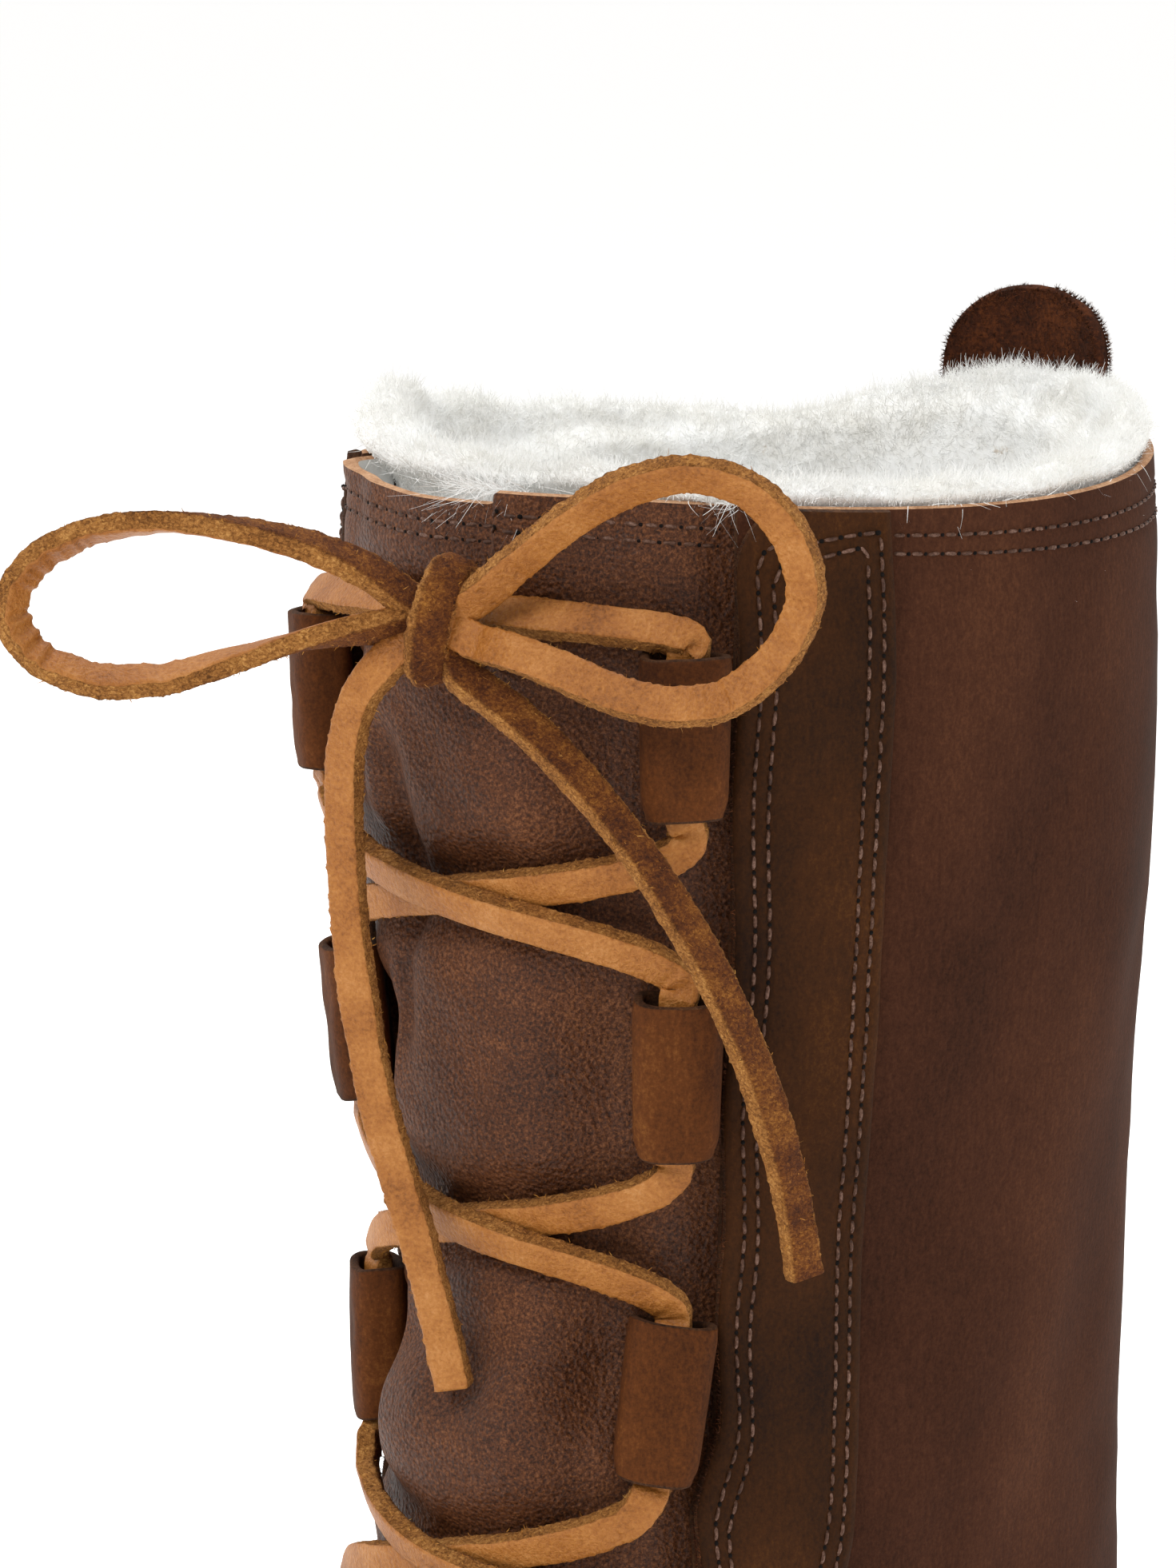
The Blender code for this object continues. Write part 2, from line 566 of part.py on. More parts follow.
def tunnel_frame(side, index):
    # the tunnel is moved round until its rear wall stops just short of the eyestay's front edge
    edge = side * (THROAT_OUTER if side > 0 else THROAT_INNER)
    height = RIM_HEIGHT - TUNNEL_TOP_DROP - TUNNEL_HEIGHT / 2 - index * TUNNEL_PITCH
    levels = height + np.linspace(-0.5, 0.5, 5) * TUNNEL_HEIGHT
    edge_line = shaft_point(np.full(5, edge), levels, OVERLAY_LIFT + EYESTAY_THICKNESS)
    angle = edge - side * TUNNEL_WIDTH / SHAFT_WIDTH
    for _ in range(8):
        centre, across, normal, up = frame_at(angle, height)
        room = (side * (edge_line - centre) @ across).min() - TUNNEL_WIDTH / 2 - CLEARANCE
        angle += side * room / (SHAFT_WIDTH / 2)
    return frame_at(angle, height)


def build_tunnel(name, side, index, material):
    centre, across, normal, up = tunnel_frame(side, index)
    sides = 16
    turns = np.arange(sides) * 2 * math.pi / sides
    rounded = [np.sign(f(turns)) * np.abs(f(turns)) ** 0.65 for f in (np.cos, np.sin)]
    loops = []
    for level in (-0.5, 0.5):
        for wall in (0, TUNNEL_WALL):
            flat = (rounded[0][:, None] * across * (TUNNEL_WIDTH / 2 - wall)
                    + rounded[1][:, None] * normal * (TUNNEL_DEPTH / 2 - wall))
            loops.append(centre + flat + up * level * TUNNEL_HEIGHT)
    low_out, low_in, top_out, top_in = (k * sides for k in range(4))
    faces = []
    for s in range(sides):
        n = (s + 1) % sides
        faces.append([low_out + s, low_out + n, top_out + n, top_out + s])
        faces.append([low_in + s, top_in + s, top_in + n, low_in + n])
        faces.append([top_out + s, top_out + n, top_in + n, top_in + s])
        faces.append([low_out + s, low_in + s, low_in + n, low_out + n])
    piece = make_object(name, np.concatenate(loops), faces, material)
    tidy = bmesh.new()
    tidy.from_mesh(piece.data)
    bmesh.ops.recalc_face_normals(tidy, faces=tidy.faces)
    tidy.to_mesh(piece.data)
    tidy.free()


def mouth(side, index, end):
    # just outside a tunnel's top (end 1) or bottom (end -1), and the way the lace leaves it
    centre, _, _, up = tunnel_frame(side, index)
    return centre + up * end * (TUNNEL_HEIGHT / 2 + LACE_GAP), up * end


def lace_stretch(start, end, bend):
    # out of one mouth and into the other: a curve in angle and height, carried on the tongue's swell
    (a, a_way), (b, b_way) = start, end
    t = np.linspace(0, 1, 12)
    middle = SHAFT_WIDTH / 2 * 0.9
    angles = [math.asin(point[0] / middle) for point in (a, b)]
    shares = [(1 - t) ** 3, 3 * t * (1 - t) ** 2, 3 * t**2 * (1 - t), t**3]
    angle = angles[0] * (shares[0] + shares[1]) + angles[1] * (shares[2] + shares[3])
    level = (shares[0] * a[2] + shares[1] * (a[2] + a_way[2] * bend)
             + shares[2] * (b[2] + b_way[2] * bend) + shares[3] * b[2])
    points = shaft_point(angle, level, TUNNEL_SEAT + TUNNEL_DEPTH / 2)
    return points + np.outer((1 - t) ** 4, a - points[0]) + np.outer(t**4, b - points[-1])


def build_lacing(material):
    sides = 8
    for index in range(TUNNEL_COUNT - 1):
        parts = []
        for side, name in ((1, f"lace_cross_{index + 1}"), (-1, f"cross_cutter_{index + 1}")):
            route = lace_stretch(mouth(side, index, -1), mouth(-side, index + 1, 1), LACE_BEND)
            rings = tube_points(route, LACE_THICKNESS / 2, sides)
            parts.append(make_object(name, rings.reshape(-1, 3), stack_faces(len(route), sides), material))
        join = parts[0].modifiers.new("join", "BOOLEAN")
        join.operation = "UNION"
        join.object = parts[1]
        parts[1].hide_render = True
        parts[1].display_type = "WIRE"
    last = TUNNEL_COUNT - 1
    for name, start, end in (("lace_top_bar", mouth(1, 0, 1), mouth(-1, 0, 1)),
                             ("lace_bottom_bar", mouth(1, last, -1), mouth(-1, last, -1))):
        route = lace_stretch(start, end, BAR_BEND)
        rings = tube_points(route, LACE_THICKNESS / 2, sides)
        make_object(name, rings.reshape(-1, 3), stack_faces(len(route), sides), material)


def knot_centre():
    height = RIM_HEIGHT - TUNNEL_TOP_DROP + KNOT_RISE
    lift = TUNNEL_SEAT + (TUNNEL_DEPTH + LACE_THICKNESS + KNOT_SIZE[1]) / 2 + 2 * CLEARANCE
    return shaft_point(np.array(KNOT_ANGLE), np.array(height), np.array(lift))


def bow_frame():
    across = np.array([math.cos(BOW_FACING), math.sin(BOW_FACING), 0])
    out = np.array([math.sin(BOW_FACING), -math.cos(BOW_FACING), 0])
    return across, np.array([0, 0, 1.0]), out


def build_knot(material):
    centre = knot_centre()
    across, up, out = bow_frame()
    turns = np.arange(12) * 2 * math.pi / 12
    rings = []
    for tilt in np.linspace(-0.5, 0.5, 7) * math.pi * 0.94:
        size = np.cos(tilt) ** 0.6
        rings.append(centre + size * (np.cos(turns)[:, None] * across * KNOT_SIZE[0] / 2
                                      + np.sin(turns)[:, None] * -out * KNOT_SIZE[1] / 2)
                     + up * np.sin(tilt) * KNOT_SIZE[2] / 2)
    make_object("lace_knot", np.concatenate(rings), stack_faces(len(rings), len(turns)), material)


def build_free_laces(material):
    across, up, out = bow_frame()
    centre = knot_centre()
    for name, route, count in (("bow_loop_inner", BOW_LOOP_INNER, 19), ("bow_loop_outer", BOW_LOOP_OUTER, 18),
                               ("lace_end_inner", LACE_END_INNER, 14), ("lace_end_outer", LACE_END_OUTER, 14)):
        offsets = smooth_route(route, count) / 1000
        points = centre + offsets @ np.array([across, up, out])
        curve = bpy.data.curves.new(name, "CURVE")
        curve.dimensions = "3D"
        curve.bevel_depth = LACE_THICKNESS / 2
        curve.bevel_resolution = 2
        curve.use_fill_caps = True
        curve.materials.append(material)
        spline = curve.splines.new("POLY")
        spline.points.add(len(points) - 1)
        for point, place in zip(spline.points, points):
            point.co = (*place, 1)
        bpy.context.scene.collection.objects.link(bpy.data.objects.new(name, curve))


def build():
    for piece in list(bpy.data.objects):
        bpy.data.objects.remove(piece)
    rubber = make_material("black_rubber", (0.030, 0.022, 0.018), 0.60)
    nubuck = make_material("brown_nubuck", (0.060, 0.024, 0.014), 0.75)
    strap = make_material("olive_brown_leather", (0.070, 0.025, 0.006), 0.80)
    suede = make_material("dark_brown_suede", (0.035, 0.013, 0.006), 0.95)
    tan = make_material("tan_lace_leather", (0.50, 0.20, 0.06), 0.55)
    wool = make_material("cream_shearling", (0.82, 0.80, 0.72), 1.0)
    build_outsole(rubber)
    build_insole(wool)
    build_upper(nubuck)
    build_apron(nubuck)
    build_tongue(nubuck)
    build_eyestays(strap)
    build_wool(wool)
    build_tab(suede)
    for side, name in ((1, "outer"), (-1, "inner")):
        for index in range(TUNNEL_COUNT):
            build_tunnel(f"lace_tunnel_{name}_{index + 1}", side, index, strap)
    build_lacing(tan)
    build_knot(tan)
    build_free_laces(tan)


build()
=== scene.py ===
import json
import math

import bmesh
import bpy
import mathutils
import numpy as np
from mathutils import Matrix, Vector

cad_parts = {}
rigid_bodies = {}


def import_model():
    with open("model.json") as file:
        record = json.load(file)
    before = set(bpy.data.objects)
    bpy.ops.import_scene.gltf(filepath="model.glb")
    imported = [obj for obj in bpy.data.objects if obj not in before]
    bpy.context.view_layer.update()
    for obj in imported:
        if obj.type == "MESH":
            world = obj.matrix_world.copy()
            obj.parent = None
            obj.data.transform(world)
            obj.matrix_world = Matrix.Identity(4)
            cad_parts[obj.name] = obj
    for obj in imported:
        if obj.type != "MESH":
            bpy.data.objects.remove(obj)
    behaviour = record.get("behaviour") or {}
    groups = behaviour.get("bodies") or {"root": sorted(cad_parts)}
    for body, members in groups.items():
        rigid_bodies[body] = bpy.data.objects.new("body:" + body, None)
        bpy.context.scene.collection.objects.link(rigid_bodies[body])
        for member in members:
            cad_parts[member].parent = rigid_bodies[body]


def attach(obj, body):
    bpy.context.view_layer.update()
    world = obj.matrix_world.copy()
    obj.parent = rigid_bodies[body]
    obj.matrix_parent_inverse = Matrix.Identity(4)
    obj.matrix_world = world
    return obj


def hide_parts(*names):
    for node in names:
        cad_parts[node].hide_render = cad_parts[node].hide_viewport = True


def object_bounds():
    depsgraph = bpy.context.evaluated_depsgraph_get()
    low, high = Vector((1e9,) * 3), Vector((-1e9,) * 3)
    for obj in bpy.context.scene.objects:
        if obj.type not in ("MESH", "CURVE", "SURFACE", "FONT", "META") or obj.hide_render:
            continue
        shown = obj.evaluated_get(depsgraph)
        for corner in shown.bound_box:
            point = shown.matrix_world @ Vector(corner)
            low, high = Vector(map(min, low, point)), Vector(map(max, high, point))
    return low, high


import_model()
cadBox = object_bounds()
print("frame loaded")

# the lengths below are in metres, and the angles in radians
mm = 0.001
deg = math.pi / 180


def toLinear(hexColour):
    # sRGB hex to linear, channel by channel
    channels = [int(hexColour[k:k + 2], 16) / 255 for k in (1, 3, 5)]
    return tuple(c / 12.92 if c <= 0.04045 else ((c + 0.055) / 1.055) ** 2.4 for c in channels) + (1.0,)


def addNode(tree, kind, settings=None, **inputs):
    # a node with its settings, and its inputs given as values or as other nodes' outputs
    node = tree.nodes.new(kind)
    for name, value in (settings or {}).items():
        setattr(node, name, value)
    for name, value in inputs.items():
        # i0, i1 and so on are places among the inputs, and any other name is the input's own
        numbered = name[0] == "i" and name[1:].isdigit()
        socket = node.inputs[int(name[1:]) if numbered else name.replace("_", " ")]
        if isinstance(value, bpy.types.NodeSocket):
            tree.links.new(value, socket)
        else:
            socket.default_value = value
    return node


def startMaterial(name, roughness, **sockets):
    # an empty node tree with one Principled shader, and object coordinates in metres
    material = bpy.data.materials.new(name)
    material.use_nodes = True
    tree = material.node_tree
    shader = tree.nodes["Principled BSDF"]
    shader.inputs["Roughness"].default_value = roughness
    for socket, value in sockets.items():
        shader.inputs[socket.replace("_", " ")].default_value = value
    place = addNode(tree, "ShaderNodeTexCoord").outputs["Object"]
    return material, tree, shader, place


def ramp(tree, value, stops):
    # colour stops as (place, hex colour)
    node = addNode(tree, "ShaderNodeValToRGB", i0=value)
    while len(node.color_ramp.elements) < len(stops):
        node.color_ramp.elements.new(0.5)
    for element, (at, colour) in zip(node.color_ramp.elements, stops):
        element.position = at
        element.color = toLinear(colour)
    return node.outputs["Color"]


def noise(tree, place, size, detail=3.0, roughness=0.55, stretch=(1, 1, 1), distortion=0.0):
    # a noise with blobs of a real size in metres, stretched along an axis by a factor
    scaled = addNode(tree, "ShaderNodeMapping", i0=place, i3=tuple(1 / (size * s) for s in stretch))
    return addNode(tree, "ShaderNodeTexNoise", None, Vector=scaled.outputs[0], Scale=1.0, Detail=detail,
                   Roughness=roughness, Distortion=distortion).outputs["Fac"]


def blendColour(tree, kind, factor, low, high):
    node = addNode(tree, "ShaderNodeMix", {"data_type": "RGBA", "blend_type": kind}, i0=factor, i6=low, i7=high)
    return node.outputs[2]


def calc(tree, operation, a, b=0.0, clamp=False):
    return addNode(tree, "ShaderNodeMath", {"operation": operation, "use_clamp": clamp}, i0=a, i1=b).outputs[0]


def weigh(tree, *parts):
    # the sum of several values, each times its weight
    total = None
    for value, weight in parts:
        weighed = calc(tree, "MULTIPLY", value, weight)
        total = weighed if total is None else calc(tree, "ADD", total, weighed)
    return total


def mapRange(tree, value, **ends):
    # i1 and i2 are the ends that it goes from, and i3 and i4 those that it goes to
    return addNode(tree, "ShaderNodeMapRange", None, i0=value, **ends).outputs[0]


def setBump(tree, shader, height, distance, strength):
    node = addNode(tree, "ShaderNodeBump", None, Strength=strength, Distance=distance, Height=height)
    tree.links.new(node.outputs["Normal"], shader.inputs["Normal"])


def smoothValue(places, values, at):
    # cubic between neighbouring rows, with each row's slope taken from the rows beside it
    places, values = np.asarray(places, float), np.asarray(values, float)
    at = np.clip(at, places[0], places[-1])
    slopes = np.gradient(values, places)
    k = np.clip(np.searchsorted(places, at, side="right") - 1, 0, len(places) - 2)
    width = places[k + 1] - places[k]
    t = (at - places[k]) / width
    return ((2 * t**3 - 3 * t**2 + 1) * values[k] + (t**3 - 2 * t**2 + t) * width * slopes[k]
            + (3 * t**2 - 2 * t**3) * values[k + 1] + (t**3 - t**2) * width * slopes[k + 1])


def squared(value, power):
    # rounds a circle's sine or cosine towards a box, by a power under one
    return np.sign(value) * np.abs(value) ** power


def ease(value):
    value = np.clip(value, 0, 1)
    return value * value * (3 - 2 * value)


def hump(value, centre, reach):
    # a bell of height one, and of the given reach to each side
    return np.exp(-((value - centre) / reach) ** 2)


def addMesh(name, points, faces, materials, faceMaterial=None, attributes=None, smooth=True):
    # a mesh object at the origin from whole arrays of points and of quads or triangles
    mesh = bpy.data.meshes.new(name)
    faces = np.asarray(faces, np.int32)
    sides = faces.shape[1]
    mesh.vertices.add(len(points))
    mesh.vertices.foreach_set("co", np.asarray(points, np.float32).ravel())
    mesh.loops.add(faces.size)
    mesh.loops.foreach_set("vertex_index", faces.ravel())
    mesh.polygons.add(len(faces))
    mesh.polygons.foreach_set("loop_start", np.arange(0, faces.size, sides, dtype=np.int32))
    mesh.update(calc_edges=True)
    for material in materials:
        mesh.materials.append(material)
    if faceMaterial is not None:
        mesh.polygons.foreach_set("material_index", np.asarray(faceMaterial, np.int32).ravel())
    mesh.polygons.foreach_set("use_smooth", np.full(len(faces), smooth))
    for key, values in (attributes or {}).items():
        mesh.attributes.new(key, "FLOAT", "POINT").data.foreach_set("value", np.asarray(values, np.float32).ravel())
    mesh.validate()
    thing = bpy.data.objects.new(name, mesh)
    bpy.context.scene.collection.objects.link(thing)
    return thing


def gridFaces(rows, columns, wrapRows=False, wrapColumns=False, flip=False):
    # quads of a grid whose points are numbered row by row
    r = np.arange(rows if wrapRows else rows - 1)[:, None]
    c = np.arange(columns if wrapColumns else columns - 1)[None, :]
    r2, c2 = (r + 1) % rows, (c + 1) % columns
    quads = np.stack(np.broadcast_arrays(r * columns + c, r * columns + c2, r2 * columns + c2, r2 * columns + c), -1)
    quads = quads.reshape(-1, 4)
    return quads[:, ::-1] if flip else quads


def recalculate(thing):
    # outward normals on a closed surface
    work = bmesh.new()
    work.from_mesh(thing.data)
    bmesh.ops.remove_doubles(work, verts=work.verts, dist=1e-6)
    bmesh.ops.recalc_face_normals(work, faces=work.faces)
    work.to_mesh(thing.data)
    work.free()


def unit(vectors):
    return vectors / np.maximum(np.linalg.norm(vectors, axis=-1, keepdims=True), 1e-12)


view = {
    "turn": 37 * deg,          # round from the toe to the wearer's outer side
    "axisY": 0.062,            # the shaft's upright axis
    "distance": 0.800,
    "height": 0.373,
    "aimRight": -0.025,
    "aimHeight": 0.236,
    "lens": 127.8,
    "sensor": 36,
}
viewRight = np.array([math.cos(view["turn"]), math.sin(view["turn"]), 0])
viewOut = np.array([math.sin(view["turn"]), -math.cos(view["turn"]), 0])
aim = np.array([0, view["axisY"], view["aimHeight"]]) + viewRight * view["aimRight"]
eye = np.array([0, view["axisY"], view["height"]]) + viewRight * view["aimRight"] + viewOut * view["distance"]


def lookAt(thing, place, target):
    thing.location = tuple(place)
    thing.rotation_euler = mathutils.Vector(tuple(target - place)).to_track_quat("-Z", "Y").to_euler()


cameraData = bpy.data.cameras.new("camera")
cameraData.sensor_fit = "VERTICAL"
cameraData.sensor_height = view["sensor"]
cameraData.lens = view["lens"]
cameraData.clip_start = 0.01
cameraData.clip_end = 50
camera = bpy.data.objects.new("camera", cameraData)
bpy.context.scene.collection.objects.link(camera)
lookAt(camera, eye, aim)
bpy.context.scene.camera = camera
bpy.context.scene.view_settings.view_transform = "Standard"
bpy.context.scene.view_settings.look = "None"

studio = [
    # name, place to the right, towards the camera and up from the shaft, side of the panel, power
    ("keyPanel", (-0.9, 1.1, 1.35), 0.8, 17),
    ("sidePanel", (1.7, 0.7, 0.6), 1.0, 5),
    ("topPanel", (0.2, -0.7, 1.7), 1.2, 14),
    ("rearPanel", (-1.4, -1.2, 0.9), 1.0, 6),
]
for name, offset, size, power in studio:
    lamp = bpy.data.lights.new(name, "AREA")
    lamp.size = size
    lamp.energy = power
    thing = bpy.data.objects.new(name, lamp)
    bpy.context.scene.collection.objects.link(thing)
    base = np.array([0, view["axisY"], 0.18])
    lookAt(thing, base + viewRight * offset[0] + viewOut * offset[1] + np.array([0, 0, offset[2]]), base)

world = bpy.data.worlds.new("paleStudio")
world.use_nodes = True
background = world.node_tree.nodes["Background"]
background.inputs["Color"].default_value = toLinear("#ffffff")
rays = addNode(world.node_tree, "ShaderNodeLightPath")
# the walls are white to look at, and light the boot less
strength = mapRange(world.node_tree, rays.outputs["Is Camera Ray"], i3=0.62, i4=1.0)
world.node_tree.links.new(strength, background.inputs["Strength"])
bpy.context.scene.world = world

floorMaterial, tree, shader, place = startMaterial("matt white paper floor", 0.9)
shader.inputs["Base Color"].default_value = toLinear("#f7f6f4")
# a lit sweep of paper, so that its far part stays pale
shader.inputs["Emission Color"].default_value = toLinear("#ffffff")
shader.inputs["Emission Strength"].default_value = 0.42
turns = np.linspace(0, 2 * math.pi, 97)[:-1]
radii = np.array([0.001, 0.4, 1, 2, 4, 8, 16])
floorPoints = np.stack([radii[:, None] * np.cos(turns), radii[:, None] * np.sin(turns),
                        np.full((len(radii), len(turns)), cadBox[0][2] - 0.0002)], -1)
floor = addMesh("floor", floorPoints.reshape(-1, 3), gridFaces(len(radii), len(turns), wrapColumns=True, flip=True),
                [floorMaterial])
print("camera, light and floor")


# the boot's form, in the values and sections of the CAD upper and outsole
form = {
    "clearance": 0.4 * mm, "overlayLift": 0.6 * mm,
    "outsoleLength": 268 * mm, "ballWidth": 100 * mm, "heelHeight": 22 * mm, "forefootHeight": 12 * mm,
    "toeSpring": 7.5 * mm, "archRise": 2 * mm, "soleLedge": 3.5 * mm,
    "wall": 1.6 * mm, "instepHeight": 100 * mm, "rimHeight": 285 * mm, "rimDip": 4 * mm,
    "shaftDepth": 130 * mm, "shaftWidth": 111 * mm, "shaftSetback": 3.5 * mm,
    # the rim curls up at the inner front, and sags at the inner rear, where the shaft is pulled open
    "innerCurl": 2.7 * mm, "curlAngle": -47 * deg, "curlSpread": 17 * deg,
    "rearSag": 2.6 * mm, "sagAngle": -142 * deg, "sagSpread": 24 * deg, "sagRow": 22.4, "sagRows": 1.6,
    "throatOuter": 36.5 * deg, "throatInner": 42.5 * deg, "throatRow": 9.0,
    "heelRound": 0.13, "toeRound": 0.20, "toeSquareness": 2.2,
}
soleRows = np.array([
    # along, outer, inner, wedge, spring, arch
    (0.00, 0.350, 0.350, 1.00, 0.00, 0.0), (0.16, 0.365, 0.360, 0.95, 0.00, 0.0),
    (0.30, 0.370, 0.335, 0.70, 0.00, 0.3), (0.42, 0.390, 0.320, 0.40, 0.00, 1.0),
    (0.55, 0.450, 0.385, 0.12, 0.00, 0.2), (0.68, 0.495, 0.470, 0.00, 0.00, 0.0),
    (0.78, 0.500, 0.500, 0.00, 0.04, 0.0), (0.88, 0.460, 0.495, 0.00, 0.30, 0.0),
    (1.00, 0.400, 0.460, 0.00, 1.00, 0.0)]).T
footRows = np.array([
    # front along, front up, back along, belly
    (1.000, 0.00, 1.000, 0.00), (0.999, 0.11, 0.998, 0.05), (0.990, 0.22, 0.988, 0.08),
    (0.960, 0.32, 0.962, 0.10), (0.912, 0.39, 0.914, 0.11), (0.845, 0.45, 0.850, 0.12),
    (0.768, 0.51, 0.775, 0.13), (0.690, 0.59, 0.691, 0.14), (0.622, 0.69, 0.604, 0.16),
    (0.571, 0.81, 0.508, 0.19), (0.540, 0.92, 0.396, 0.23), (0.524, 1.01, 0.277, 0.27),
    (0.517, 1.09, 0.157, 0.31), (0.514, 1.18, 0.069, 0.355), (0.513, 1.27, 0.022, 0.415),
    (0.513, 1.35, 0.000, 0.445)]).T
shaftRows = np.array([
    # front up, back up, front reach, back reach, width
    (0.582, 0.150, 0.930, 1.060, 0.805), (0.618, 0.232, 0.925, 1.065, 0.812),
    (0.660, 0.325, 0.925, 1.050, 0.830), (0.709, 0.430, 0.930, 0.985, 0.860),
    (0.765, 0.550, 0.945, 0.960, 0.900), (0.828, 0.683, 0.965, 0.975, 0.950),
    (0.895, 0.805, 0.995, 0.995, 0.985), (0.951, 0.920, 0.990, 0.995, 0.990),
    (1.000, 1.010, 0.970, 0.975, 0.965)]).T
heelRow = footRows.shape[1] - 1
lastRow = footRows.shape[1] + shaftRows.shape[1] - 1


def endRound(share, power):
    # a rounded end: none at the tip and full width at a share of one
    return (1 - (1 - np.clip(share, 0, 1)) ** power) ** (1 / power)


def outlineHalf(along, side, inset):
    # half width of the outsole at a share of its length, or of the same outline drawn smaller
    share = smoothValue(soleRows[0], soleRows[1 if side == "outer" else 2], along)
    ends = endRound(along / form["heelRound"], 2) * endRound((1 - along) / form["toeRound"], form["toeSquareness"])
    return share * (form["ballWidth"] - 2 * inset) * ends


def outlineY(along, inset):
    # the place of such a share, along the boot
    return (0.5 - along) * (form["outsoleLength"] - 2 * inset)


def soleTop(y):
    along = 0.5 - y / form["outsoleLength"]
    wedge = smoothValue(soleRows[0], soleRows[3], along)
    spring = np.maximum(smoothValue(soleRows[0], soleRows[4], along), 0)
    rise = form["heelHeight"] - form["forefootHeight"]
    return form["forefootHeight"] + rise * wedge + form["toeSpring"] * spring


def soleBottom(y):
    along = 0.5 - y / form["outsoleLength"]
    arch = np.maximum(smoothValue(soleRows[0], soleRows[5], along), 0)
    spring = np.maximum(smoothValue(soleRows[0], soleRows[4], along), 0)
    return form["archRise"] * arch + form["toeSpring"] * spring


upperLength = form["outsoleLength"] - 2 * form["soleLedge"]
shaftAxis = upperLength / 2 - form["shaftSetback"] - form["shaftDepth"] / 2
footBack = (0.5 - footRows[2]) * upperLength
fan = {
    "frontY": np.append((0.5 - footRows[0]) * upperLength, shaftAxis - shaftRows[2] * form["shaftDepth"] / 2),
    "frontZ": np.append(soleTop(footBack) + form["clearance"] + footRows[1] * form["instepHeight"],
                        shaftRows[0] * form["rimHeight"]),
    "backY": np.append(footBack, shaftAxis + shaftRows[3] * form["shaftDepth"] / 2),
    "backZ": np.append(soleTop(footBack) + form["clearance"], shaftRows[1] * form["rimHeight"]),
    "belly": np.append(footRows[3] * form["ballWidth"], shaftRows[4] * form["shaftWidth"] / 2),
}
fanPlaces = np.arange(lastRow + 1.0)


def upperPoint(angle, row):
    # a section is an ellipse in its own plane, cut off at the feather line: across goes with the
    # sine of the angle from the front, and the way from back to front with its cosine
    angle, row = np.broadcast_arrays(np.asarray(angle, float), np.asarray(row, float))
    here = {name: smoothValue(fanPlaces, values, row) for name, values in fan.items()}
    along = np.clip(0.5 - here["backY"] / upperLength, 0, 1)
    feather = np.where(angle >= 0, outlineHalf(along, "outer", form["soleLedge"]),
                       outlineHalf(along, "inner", form["soleLedge"]))
    feather = np.where(row < heelRow, feather, 0)
    wide = np.maximum(np.hypot(feather, here["belly"]), 1e-9)
    closing = np.sqrt(np.maximum(1 - (feather / wide) ** 2, 0))
    turn = np.clip(np.abs(angle), 0, math.pi - np.arccos(np.clip(closing, -1, 1)))
    backZ = np.where(row < heelRow, soleTop(here["backY"]) + form["clearance"], here["backZ"])
    way = (np.cos(turn) + closing) / (1 + closing)
    dip = form["rimDip"] * np.sin(turn) ** 2 * ease((row - lastRow + 3) / 3)
    return np.stack([np.sign(angle) * wide * np.sin(turn),
                     here["backY"] + way * (here["frontY"] - here["backY"]),
                     backZ + way * (here["frontZ"] - backZ) - dip], -1)


def upperLimit(row):
    # the angle at which an open section meets the feather line, on the outer and the inner side
    row = np.asarray(row, float)
    limits = []
    for side in ("outer", "inner"):
        here = {name: smoothValue(fanPlaces, values, row) for name, values in fan.items()}
        along = np.clip(0.5 - here["backY"] / upperLength, 0, 1)
        feather = np.where(row < heelRow, outlineHalf(along, side, form["soleLedge"]), 0)
        limits.append(math.pi - np.arctan2(feather, np.maximum(here["belly"], 1e-9)))
    return limits


def upperNormal(angle, row):
    step = 0.02
    angle, row = np.broadcast_arrays(np.asarray(angle, float), np.asarray(row, float))
    row = np.clip(row, 0.05, lastRow - step)
    outer, inner = upperLimit(row)
    turned = np.clip(angle, -inner + step, outer - step)
    across = upperPoint(turned + step, row) - upperPoint(turned - step, row)
    up = upperPoint(turned, np.minimum(row + step, lastRow)) - upperPoint(turned, row - step)
    return unit(np.cross(across, up))


def upperOffset(angle, row, lift):
    # past the last row the shell goes on straight up, by rows of the same height as the last
    row = np.asarray(row, float)
    lift = np.broadcast_to(np.asarray(lift, float), np.broadcast(angle, row).shape)
    inside = np.minimum(row, lastRow)
    point = upperPoint(angle, inside) + upperNormal(angle, inside) * lift[..., None]
    # and the rim stands up a little at the inner front, where the leather curls
    curl = form["innerCurl"] * hump(angle, form["curlAngle"], form["curlSpread"]) * ease((row - lastRow + 0.8) / 0.8)
    point[..., 2] += np.maximum(row - lastRow, 0) * rowHeight + curl
    return point


rowHeight = (shaftRows[0][-1] - shaftRows[0][-2]) * form["rimHeight"]


def rowAtHeight(angle, height):
    # halve the span of rows until the shell is at this height
    low = np.full(np.broadcast(angle, height).shape, form["throatRow"] - 3)
    high = np.full(low.shape, float(lastRow))
    for _ in range(26):
        middle = (low + high) / 2
        below = upperPoint(angle, middle)[..., 2] < height
        low = np.where(below, middle, low)
        high = np.where(below, high, middle)
    return (low + high) / 2


def shaftPoint(angle, height, lift):
    # a point of the shaft's face at a height, or straight above the rim, lifted along its normal
    point = upperOffset(angle, rowAtHeight(angle, height), lift)
    point[..., 2] += np.maximum(height - upperPoint(angle, lastRow)[..., 2], 0)
    return point


